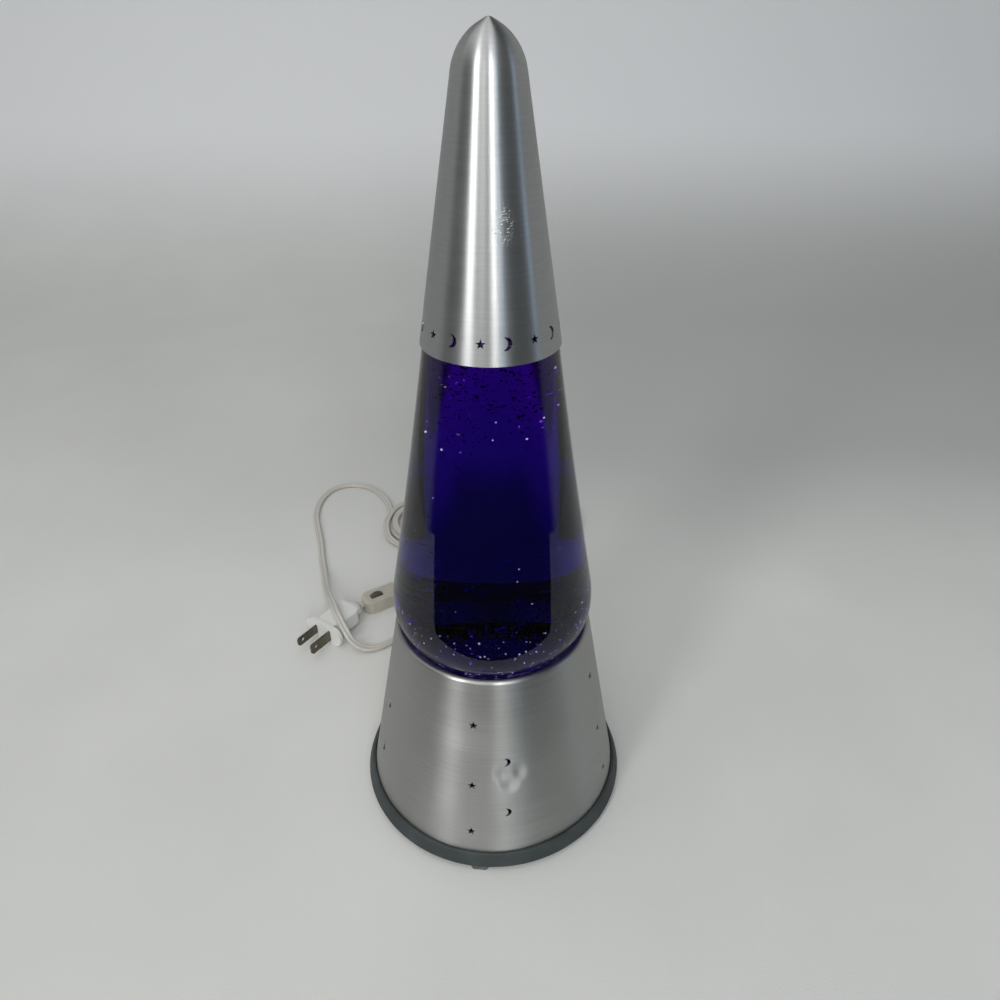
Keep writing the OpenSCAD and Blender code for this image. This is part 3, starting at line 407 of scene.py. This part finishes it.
zinc = plated("zinc_plate", (0.62, 0.63, 0.64), 0.25, 180.0)
dress(zinc, "holder_strap", "strap_screws", "stem_nut")
brass = plated("bright_brass", (0.78, 0.60, 0.28), 0.2, 240.0)
dress(brass, "stem_tube", "screw_shell", "centre_contact")

porcelain, wire, shader = new_finish("white_porcelain", Roughness=0.18, Coat_Weight=0.4)
glaze = mottle(wire, 90.0, 4.0)
glaze.mix((0.80, 0.77, 0.70), (0.88, 0.86, 0.81)).to(shader, "Base Color")
dress(porcelain, "lamp_holder")


# Bulb: a small clear round bulb that screws into the holder. It has a rolled nickel cap with a
# black glass seal at its foot, and a stretched tungsten filament on a glass mount.
dress(plated("bulb_nickel", (0.70, 0.70, 0.69), 0.22, 300.0), "bulb_cap")
dress(plated("tungsten", (0.20, 0.19, 0.18), 0.5, 500.0), "bulb_filament")
seal, wire, shader = new_finish("black_seal", Roughness=0.12)
mottle(wire, 300.0).mix((0.01, 0.01, 0.012), (0.03, 0.03, 0.03)).to(shader, "Base Color")
dress(seal, "bulb_contact")
bulb_glass, wire, shader = new_finish("bulb_glass", IOR=1.48, Transmission_Weight=1.0)
(mottle(wire, 60.0, 3.0) * 0.05).to(shader, "Roughness")
dress(bulb_glass, "bulb_glass", "bulb_mount")


# Globe: a blown bottle of clear glass on the rolled seat, drawn here with fine rings so that its
# walls bend light smoothly. It is full of violet liquid, which wets the glass without a gap, so the
# inner wall bends light only as much as glass does against the liquid.
def arc(at, r, start, end, steps):
    return [(at[0] + r * math.cos(a), at[1] + r * math.sin(a))
            for a in np.radians(np.linspace(start, end, steps + 1))]


def lathe(name, outline, material):
    """A closed form turned round Z from an outline in millimetres that starts and ends on it."""
    poles, inner = [(0, 0, z) for z in (outline[0][1], outline[-1][1])], outline[1:-1]
    turns = np.linspace(0, 2 * math.pi, AROUND, endpoint=False)
    points = poles + [(r * math.cos(a), r * math.sin(a), z) for r, z in inner for a in turns]
    ring = lambda i, k: len(poles) + i * AROUND + k % AROUND
    last = len(inner) - 1
    faces = [(0, ring(0, k + 1), ring(0, k)) for k in range(AROUND)]
    faces += [(ring(i, k), ring(i, k + 1), ring(i + 1, k + 1), ring(i + 1, k))
              for i in range(last) for k in range(AROUND)]
    faces += [(1, ring(last, k), ring(last, k + 1)) for k in range(AROUND)]
    return new_piece(name, np.array(points) / 1000, faces, material)


# The glass in millimetres, as its solid has it
AROUND, BOWL_STEPS, TURN_STEPS, FLANK_STEPS, NECK_STEPS = 192, 30, 6, 40, 12
GLASS_T, BOTTOM_T, GLOBE_Z, LIQUID_Z = 3.0, 4.5, 96.765, 260.742
BELLY_Z, BOWL_X, BOWL_R, TURN_R = 125.742, 19.35, 30.0, 50.0
LOW_TAPER, FLANK_LOW, FLANK_TOP, FLANK_EASE = 0.184, (48.5245, 134.791), 262.242, 0.000251075
TURN_LEAN, TOP_LEAN, TOP_SKIP = math.degrees(math.atan(LOW_TAPER)), 8.643, 4
SHOULDER_AT, SHOULDER_R, SHOULDER_TURN = (5.3624, 258.936), 22.0, 51.615
THROAT_AT, THROAT_R, NECK_R, NECK_Z = (30.2, 290.291), 18.0, 12.2, 299.291
FINISH_R, FINISH_Z, BEAD_SLOPE, LIP_IN, LIP_H = 13.3, 306.091, 1, 1.2, 2.4
PUNT_H, PUNT_SLOPE, INNER_PUNT_H = 2, 4, 1


def flank_r(z):
    up = z - FLANK_LOW[1]
    return FLANK_LOW[0] - LOW_TAPER * up + FLANK_EASE * up * up / 2


def globe_wall(inset, low, high):
    """Bowl, belly and flank of the globe, set in from the outside, from a bottom to a height."""
    start = -math.degrees(math.asin(min(1, (BELLY_Z - low) / (BOWL_R - inset))))
    wall = arc((BOWL_X, BELLY_Z), BOWL_R - inset, start, 0, BOWL_STEPS)
    wall += arc((BOWL_X + BOWL_R - TURN_R, BELLY_Z), TURN_R - inset, TURN_LEAN / TURN_STEPS,
                TURN_LEAN, TURN_STEPS - 1)
    for z in np.linspace(FLANK_LOW[1], high, FLANK_STEPS)[1:]:
        lean = math.atan(LOW_TAPER - FLANK_EASE * (z - FLANK_LOW[1]))
        wall.append((flank_r(z) - inset * math.cos(lean), z - inset * math.sin(lean)))
    return wall


def globe_neck(inset):
    neck = arc(SHOULDER_AT, SHOULDER_R - inset, TOP_LEAN + TOP_SKIP, SHOULDER_TURN, NECK_STEPS)
    return neck + arc(THROAT_AT, THROAT_R + inset, 180 + SHOULDER_TURN, 180, NECK_STEPS)


glass, wire, shader = new_finish("globe_glass", IOR=1.5, Transmission_Weight=1.0)
place = wire.add("TexCoord", out="Object")
smear = wire.add("TexNoise", {}, {"Vector": place, "Scale": 35.0, "Detail": 5.0, "Roughness": 0.7})
(smear.step(0.5, 0.8) * 0.04).to(shader, "Roughness")
CLEAR = {"Transmission_Weight": 1.0, "Roughness": 0.0, "Base_Color": (1, 1, 1, 1)}
wetted = new_finish("wetted_glass", IOR=1.103, **CLEAR)[0]
outside = [(0, GLOBE_Z + PUNT_H), (BOWL_X - PUNT_SLOPE, GLOBE_Z)]
outside += globe_wall(0, GLOBE_Z, FLANK_TOP) + globe_neck(0)
outside += [(NECK_R, NECK_Z), (FINISH_R, NECK_Z + BEAD_SLOPE), (FINISH_R, FINISH_Z - LIP_H),
            (FINISH_R - LIP_IN, FINISH_Z)]
inside = [(0, GLOBE_Z + BOTTOM_T + INNER_PUNT_H)]
inside += globe_wall(GLASS_T, GLOBE_Z + BOTTOM_T, FLANK_TOP) + globe_neck(GLASS_T)
inside += [(NECK_R - GLASS_T, FINISH_Z)]
bottle = lathe("bottle", outside + inside[::-1], glass)
bottle.data.set_sharp_from_angle(angle=math.radians(32))
bottle.data.materials.append(wetted)
for face in bottle.data.polygons:
    inner_wall = face.index // AROUND >= len(outside)
    face.material_index = int(inner_wall and face.center.z * 1000 < LIQUID_Z)
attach(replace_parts(bottle, "globe_glass"), "globe")
unlit = bpy.data.collections.new("out_of_strip_light")
unlit.objects.link(bottle)
unlit.collection_objects[0].light_linking.link_state = "EXCLUDE"
for strip in strips:
    strip.light_linking.receiver_collection = unlit

dye, wire, shader = new_finish("violet_liquid", IOR=1.0, **CLEAR)
depth = wire.add("VolumeAbsorption", {}, {"Color": (0.60, 0.013, 0.88, 1), "Density": 150.0})
depth.to(dye.node_tree.nodes["Material Output"], "Volume")
FILM = 0.03
WET_Z = GLOBE_Z + BOTTOM_T + FILM
wet = [(0, WET_Z + INNER_PUNT_H)] + globe_wall(GLASS_T + FILM, WET_Z, LIQUID_Z) + [(0, LIQUID_Z)]
liquid = lathe("liquid", wet, dye)
liquid.data.set_sharp_from_angle(angle=math.radians(40))
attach(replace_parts(liquid, "globe_liquid"), "globe")


# Glitter: six-sided flakes of metal film in the liquid. Most have settled on the bottom, float
# under the surface or hang in a cloud below it. A few are painted pale and glow as painted
# glints, and the rest are painted dark as painted shade.
FLAKE_R, FLAKE_T, FLAKE_SEED, FLAKE_TILT = 0.00048, 0.00006, 7, math.radians(40)
# Where the flakes are, in millimetres, and how closely they crowd to the bottom or the surface
FLAKE_LOW, FLAKE_TOP, FLAKE_ROOM = GLOBE_Z + BOTTOM_T + 1.8, LIQUID_Z - 1.5, 0.8
SEDIMENT_R, SEDIMENT_LIFT, RAFT_DEPTH = 43.0, 0.5, (0.4, 2.6)
SPECK_LOW, SPECK_HIGH, CLOUD_H, SPECK_CROWD, CLOUD_CROWD = 107.0, 134.0, 40, 1.3, 1.8
SETTLED, SPECKS, HANGING, ADRIFT, RAFT = 1600, 680, 900, 360, 2600
draw = np.random.default_rng(FLAKE_SEED)


def spot_at(r, turn, z):
    return r * math.cos(turn) / 1000, r * math.sin(turn) / 1000, z / 1000


def cloud(heights, outward):
    """Places for flakes at these heights, nearer to the glass where outward is small."""
    for z in heights:
        room = flank_r(max(z, FLANK_LOW[1])) - GLASS_T - FLAKE_ROOM
        if z < BELLY_Z:
            room = BOWL_X + math.sqrt((BOWL_R - GLASS_T - FLAKE_ROOM) ** 2 - (BELLY_Z - z) ** 2)
        turn, r = draw.uniform(0, 2 * math.pi), room * draw.uniform() ** outward
        yield spot_at(r, turn, z)


def sediment(count):
    """Places for flakes that lie on the flat bottom and on the bowl round it."""
    for _ in range(count):
        r, turn = SEDIMENT_R * math.sqrt(draw.uniform()), draw.uniform(0, 2 * math.pi)
        lift = draw.exponential(SEDIMENT_LIFT)
        reach, z = BOWL_R - GLASS_T - FLAKE_ROOM - lift, FLAKE_LOW + lift
        if r > BOWL_X:
            slope = math.asin((r - BOWL_X) / (BOWL_R - GLASS_T))
            r, z = BOWL_X + reach * math.sin(slope), max(z, BELLY_Z - reach * math.cos(slope))
        yield spot_at(r, turn, z)


specks = SPECK_LOW + (SPECK_HIGH - SPECK_LOW) * draw.uniform(size=SPECKS) ** SPECK_CROWD
hanging = FLAKE_TOP - CLOUD_H * draw.uniform(size=HANGING) ** CLOUD_CROWD
adrift = draw.uniform(SPECK_HIGH, FLAKE_TOP - CLOUD_H / 2, size=ADRIFT)
raft = LIQUID_Z - draw.uniform(*RAFT_DEPTH, size=RAFT)
flake_places, flake_sizes = [], []
for found, smallest, largest in ((sediment(SETTLED), 0.4, 1.0), (cloud(specks, 0.02), 0.35, 0.95),
                                 (cloud(hanging, 0.3), 0.8, 1.5), (cloud(adrift, 0.1), 0.5, 1.0),
                                 (cloud(raft, 0.5), 0.7, 1.3)):
    found = list(found)
    flake_places += found
    flake_sizes += list(draw.uniform(smallest, largest, size=len(found)))

# A flake has a painted glint where its glint, a random number, passes this, less at some heights
GLINTS, LOW_GLINTS, ADRIFT_GLINTS = 0.955, 0.36, 0.10
film, wire, shader = new_finish("glitter_film", Metallic=1.0, Roughness=0.25, Emission_Strength=1.0)
glint = wire.add("Attribute", {"attribute_name": "glint"}, out="Fac")
height = place_on_piece(wire).out("Z")
low_specks = height.step(0.106, 0.108) * (1 - height.step(0.132, 0.145))
adrift_specks = height.step(0.132, 0.145) * (1 - height.step(0.225, 0.24))
below_raft = 1 - height.step(0.257, 0.2575)
lit = glint - GLINTS + low_specks * LOW_GLINTS + adrift_specks * ADRIFT_GLINTS
lit = lit.step(0.0, 0.03) * below_raft
# Painted glints and shade: flakes past the mark are painted pale and glow, the rest are painted
# dark
lit.mix((0.08, 0.07, 0.13), (0.95, 0.93, 1.0)).to(shader, "Base Color")
lit.mix((0.0, 0.0, 0.0), (0.75, 0.74, 0.95)).to(shader, "Emission Color")
film.cycles.emission_sampling = "NONE"

tree = bpy.data.node_groups.new("glitter", "GeometryNodeTree")
for name, kind in (("Places", "Geometry"), ("Flake radius", "Float"), ("Flake thickness", "Float"),
                   ("Seed", "Int")):
    tree.interface.new_socket(name, in_out="INPUT", socket_type="NodeSocket" + kind)
tree.interface.new_socket("Flakes", in_out="OUTPUT", socket_type="NodeSocketGeometry")


def grow(kind, settings=None, sockets=None):
    """The outputs of a new node in the glitter's tree."""
    node = tree.nodes.new(kind)
    for key, value in (settings or {}).items():
        setattr(node, key, value)
    for key, value in (sockets or {}).items():
        if isinstance(value, bpy.types.NodeSocket):
            tree.links.new(value, node.inputs[key])
        else:
            node.inputs[key].default_value = value
    return node.outputs


# The Random Value node's number sockets, which share their names with its vector sockets
LEAST_NUMBER, MOST_NUMBER, NUMBER_OUT = 2, 3, 1
given = grow("NodeGroupInput")
flake = grow("GeometryNodeMeshCylinder", {}, {"Vertices": 6, "Radius": given["Flake radius"],
                                              "Depth": given["Flake thickness"]})["Mesh"]
tilt = grow("FunctionNodeRandomValue", {"data_type": "FLOAT_VECTOR"},
            {"Min": (-FLAKE_TILT, -FLAKE_TILT, 0), "Max": (FLAKE_TILT, FLAKE_TILT, 2 * math.pi),
             "Seed": given["Seed"]})["Value"]
size = grow("GeometryNodeInputNamedAttribute", {"data_type": "FLOAT"},
            {"Name": "size"})["Attribute"]
shine = grow("FunctionNodeRandomValue", {"data_type": "FLOAT"},
             {LEAST_NUMBER: 0.0, MOST_NUMBER: 1.0, "Seed": given["Seed"]})[NUMBER_OUT]
marked = grow("GeometryNodeStoreNamedAttribute", {"data_type": "FLOAT", "domain": "POINT"},
              {"Geometry": given["Places"], "Name": "glint", "Value": shine})["Geometry"]
flakes = grow("GeometryNodeInstanceOnPoints", {}, {"Points": marked, "Instance": flake,
                                                   "Rotation": tilt, "Scale": size})["Instances"]
flakes = grow("GeometryNodeRealizeInstances", {}, {"Geometry": flakes})["Geometry"]
flakes = grow("GeometryNodeSetMaterial", {}, {"Geometry": flakes, "Material": film})["Geometry"]
grow("NodeGroupOutput", {}, {"Flakes": flakes})

glitter = new_piece("glitter", flake_places, [], film)
glitter.data.attributes.new("size", "FLOAT", "POINT").data.foreach_set("value", flake_sizes)
maker = glitter.modifiers.new("glitter", "NODES")
maker.node_group = tree
flake_inputs = {"Flake radius": FLAKE_R, "Flake thickness": FLAKE_T, "Seed": FLAKE_SEED}
for socket in tree.interface.items_tree:
    if socket.name in flake_inputs:
        maker[socket.identifier] = flake_inputs[socket.name]
grown = glitter.evaluated_get(bpy.context.evaluated_depsgraph_get())
mesh = bpy.data.meshes.new_from_object(grown)
glitter.modifiers.clear()
glitter.data = mesh
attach(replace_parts(glitter, "glitter_flakes"), "globe")


# Closure: a crown of plated steel that is crimped over a soft disc and shuts the bottle, out of
# sight in the cap.
dress(zinc, "crown_closure")
liner, wire, shader = new_finish("soft_liner", Roughness=0.6)
mottle(wire, 200.0).mix((0.74, 0.74, 0.72), (0.82, 0.82, 0.80)).to(shader, "Base Color")
dress(liner, "crown_liner")


# Cap: the same brushed aluminium, spun to a blunt point, with its row of stars and crescents. It
# sits loose on the globe, is painted dark inside as painted shade, and has a patch of scuffs in
# front.
SCUFF_AT, SCUFF_R = (0.0050, -0.0207, 0.3070), 0.0045
CAP_EDGE, CAP_TIP = 0.2573, 0.3665
cap_metal = brushed("cap_aluminium", 9.0, (0.53, 0.537, 0.532), scuff=(SCUFF_AT, SCUFF_R),
                    inside_shade=(0.02, 0.02, 0.022))
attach(spun("spun_cap", "globe_cap", CAP_EDGE, CAP_TIP, cap_metal), "cap")


# Cord: clear flat twin flex with copper showing through, from the boot in the ring round the plug
# to a hank behind the lamp and back to the switch. 1.74 m, of which the hank holds 1.14 m. Its
# route is in millimetres.
CORD_W, CORD_T = 0.0052, 0.0027
LEAD = [(9.857, 93.783, 3.5), (11, 108, 2.4), (7, 122, 1.4), (-5, 132, 1.4), (-21, 134, 1.4),
        (-38, 127, 1.4), (-53, 114, 1.4), (-65, 100.5, 1.6), (-76.5, 90.5, 1.4), (-87, 86.8, 2.6),
        (-95.9, 88.9, 6.9), (-102.2, 95.4, 13.3), (-108.6, 106.3, 17.1), (-114.6, 120.3, 16.2),
        (-120.5, 135, 12), (-126, 152, 6.8), (-131.5, 172, 2.8), (-137, 192, 1.4), (-142, 213, 1.4),
        (-148, 233, 1.4), (-153, 252, 1.4), (-154, 273, 1.4), (-149, 291, 1.4), (-139, 301, 1.4),
        (-126, 303, 1.4), (-112, 298, 1.4), (-100, 285, 1.4), (-91, 266, 1.7)]
TAIL = [(-89, 228, 4.8), (-85.5, 217, 3.4), (-77, 208.5, 1.9), (-64.5, 199, 1.4), (-52, 189, 1.4),
        (-45.8, 181.3, 1.4), (-43.8, 172.4, 1.4), (-46.2, 163, 2.4), (-55, 154.3, 4.8),
        (-69.279, 144.949, 6)]
HANK_AT, HANK_RUN, HANK_R, HANK_STEP, HANK_WAIST = (-6, 240), 49, 31, 6.6, 12
HANK_LOOPS, HANK_TURN, HANK_LAYERS, LOOP_POINTS = 3, 1.25, (2.15, 5.45), 24
CLIMB_RATE = 5


def hank_point(t):
    """Point at turn t of the hank, whose loops spiral in and then out again a layer higher."""
    r = HANK_R - HANK_STEP * min(t, 2 * HANK_TURN - t)
    u = t % 1
    drawn = lambda x: HANK_WAIST * (1 + math.cos(math.pi * x / HANK_RUN)) / 2
    turn = lambda at: (math.cos(4 * math.pi * (u - at)), math.sin(4 * math.pi * (u - at)))
    # Two bends and the two runs between them take a quarter of a turn each
    if u < 0.125 or u >= 0.875:
        c, s = turn(0)
        x, y = -HANK_RUN - r * c, -r * s
    elif u < 0.375:
        x = (u - 0.25) * 8 * HANK_RUN
        y = drawn(x) - r
    elif u < 0.625:
        c, s = turn(0.5)
        x, y = HANK_RUN + r * c, r * s
    else:
        x = (0.75 - u) * 8 * HANK_RUN
        y = r - drawn(x)
    climb = min(1, max(0, (t - HANK_TURN) * CLIMB_RATE + 0.5))
    z = HANK_LAYERS[0] + (HANK_LAYERS[1] - HANK_LAYERS[0]) * climb * climb * (3 - 2 * climb)
    return HANK_AT[0] + x, HANK_AT[1] + y, z


def smooth_route(route, steps):
    """Points in metres on a smooth curve through a route in millimetres."""
    p = np.array([route[0], *route, route[-1]], float) / 1000
    u = (np.arange(steps) / steps)[:, None]
    spans = [(2 * b + (c - a) * u + (2 * a - 5 * b + 4 * c - d) * u ** 2
              + (3 * b - 3 * c + d - a) * u ** 3) / 2
             for a, b, c, d in zip(p, p[1:], p[2:], p[3:])]
    return np.vstack(spans + [p[-1:]])


LOBE_POINTS = 11


def twin_flex(name, line, across=None):
    """Two round cores side by side in one clear jacket, swept along a line and lying flat."""
    core, apart, groove = CORD_T / 2, (CORD_W - CORD_T) / 2, math.radians(140)
    lobe = [(apart + core * math.cos(a), core * math.sin(a))
            for a in np.linspace(-groove, groove, LOBE_POINTS)]
    section = lobe + [(-x, -y) for x, y in lobe]
    way = np.gradient(line, axis=0)
    way /= np.linalg.norm(way, axis=1)[:, None]
    side = np.cross(way, (0, 0, 1)) if across is None else np.tile(across, (len(line), 1))
    side /= np.linalg.norm(side, axis=1)[:, None]
    up = np.cross(side, way)
    rings = np.array([line + side * x + up * y for x, y in section]).transpose(1, 0, 2)
    n, m = len(line), len(section)
    faces = [(i * m + j, i * m + (j + 1) % m, (i + 1) * m + (j + 1) % m, (i + 1) * m + j)
             for i in range(n - 1) for j in range(m)]
    faces += [tuple(range(m))[::-1], tuple(range((n - 1) * m, n * m))]
    flex = new_piece(name, rings.reshape(-1, 3), faces, jacket)
    along = np.concatenate([[0], np.cumsum(np.linalg.norm(np.diff(line, axis=0), axis=1))])
    layer = flex.data.uv_layers.new(name="flex")
    for face in flex.data.polygons:
        for loop, vertex in zip(face.loop_indices, face.vertices):
            round_lobe = (vertex % m % LOBE_POINTS) / (LOBE_POINTS - 1)
            layer.data[loop].uv = along[vertex // m], round_lobe
    bm = bmesh.new()
    bm.from_mesh(flex.data)
    bmesh.ops.recalc_face_normals(bm, faces=bm.faces)
    bm.to_mesh(flex.data)
    bm.free()
    return flex


STRAND_RATE, STRAND_LEAN = 1400.0, 9.0
jacket, wire, shader = new_finish("clear_flex", Roughness=0.25, Coat_Weight=0.5, IOR=1.5)
along = wire.add("SeparateXYZ", {}, {"Vector": wire.add("UVMap", {"uv_map": "flex"})})
round_core = along.out("Y")
middle = 1 - wire.math("ABSOLUTE", round_core - 0.5) * 2
strand = wire.math("SINE", along * STRAND_RATE + round_core * STRAND_LEAN) * 0.5 + 0.5
copper = middle.step(0.25, 0.85) * (0.75 + strand * 0.25)
copper.mix((0.58, 0.56, 0.51), (0.54, 0.49, 0.43)).to(shader, "Base Color")

hank = [hank_point(i / LOOP_POINTS) for i in range(LOOP_POINTS * HANK_LOOPS + 1)]
route = smooth_route(LEAD + hank + TAIL, 4)
cord = twin_flex("cord", route)
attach(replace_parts(cord, "cord_lead", "cord_hank", "cord_tail"), "base")


# Tie and boot: a pale paper band holds the hank at its waist, and a tapered boot of soft vinyl
# sits in the notch of the ring, where the cord leaves the lamp.
tie_paper, wire, shader = new_finish("tie_band", Roughness=0.55)
mottle(wire, 500.0).mix((0.70, 0.68, 0.64), (0.80, 0.78, 0.75)).to(shader, "Base Color")
dress(tie_paper, "hank_tie")
vinyl, wire, shader = new_finish("boot_vinyl", Roughness=0.4, Coat_Weight=0.3)
bloom = mottle(wire, 220.0, 3.0).step(0.3, 0.7)
bloom.mix((0.62, 0.58, 0.52), (0.70, 0.66, 0.61)).to(shader, "Base Color")
dress(vinyl, "cord_boot")


# Cord inside the base: the same flex, from the notch across the floor of the ring and up through
# the hollow stem to the lamp holder.
INNER_R, INNER_Z, INNER_TOP, INNER_TURN = 9.0, 3.5, 26.2, math.radians(-6)
inner_run = [(y, INNER_Z) for y in (66.4, 46.5, 26.6)]
inner_run += [(INNER_R * (1 - math.sin(a)), INNER_Z + INNER_R * (1 - math.cos(a)))
              for a in np.radians((0, 22.5, 45, 67.5, 90))] + [(0, INNER_TOP)]
inner_run = [(-y * math.sin(INNER_TURN), y * math.cos(INNER_TURN), z) for y, z in inner_run]
inner = twin_flex("inner_flex", smooth_route(inner_run, 4),
                  across=(math.cos(INNER_TURN), math.sin(INNER_TURN), 0))
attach(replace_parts(inner, "inner_cord"), "base")


# Switch: two halves of cloudy amber plastic, screwed together round a dark thumbwheel that turns on
# a plain steel axle.
amber, wire, shader = new_finish("clear_amber", Roughness=0.3, Transmission_Weight=0.4, IOR=1.45)
haze = mottle(wire, 150.0, 3.0).step(0.3, 0.7)
haze.mix((0.74, 0.70, 0.59), (0.80, 0.77, 0.66)).to(shader, "Base Color")
dress(amber, "switch_bottom", "switch_top")
dress(zinc, "switch_screws", "wheel_axle")
wheel_black, wire, shader = new_finish("dark_wheel", Roughness=0.5)
mottle(wire, 800.0).mix((0.06, 0.055, 0.045), (0.10, 0.09, 0.075)).to(shader, "Base Color")
dress(wheel_black, "thumbwheel")


# Plug: a white moulding with two plated blades, which the last short stretch of flex joins to the
# switch. The plug, the switch and the tie lie where the cord does.
PLUG_BACK, PLUG_OUT = (-99.932, 124.303, 7.5), (-98.211, 126.760, 7.5)
SWITCH_OUT, SWITCH_NEAR = (-97.265, 127.461, 6), (-94.721, 129.051, 6)
pigtail = twin_flex("pigtail", smooth_route([PLUG_BACK, PLUG_OUT, SWITCH_OUT, SWITCH_NEAR], 5))
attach(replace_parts(pigtail, "cord_pigtail"), "base")

plug_white, wire, shader = new_finish("white_plug", Roughness=0.3, Coat_Weight=0.2)
mottle(wire, 120.0, 4.0).mix((0.72, 0.72, 0.69), (0.80, 0.80, 0.77)).to(shader, "Base Color")
dress(plug_white, "plug_body")
dress(plated("plug_nickel", (0.22, 0.20, 0.15), 0.3, 400.0), "plug_blades")
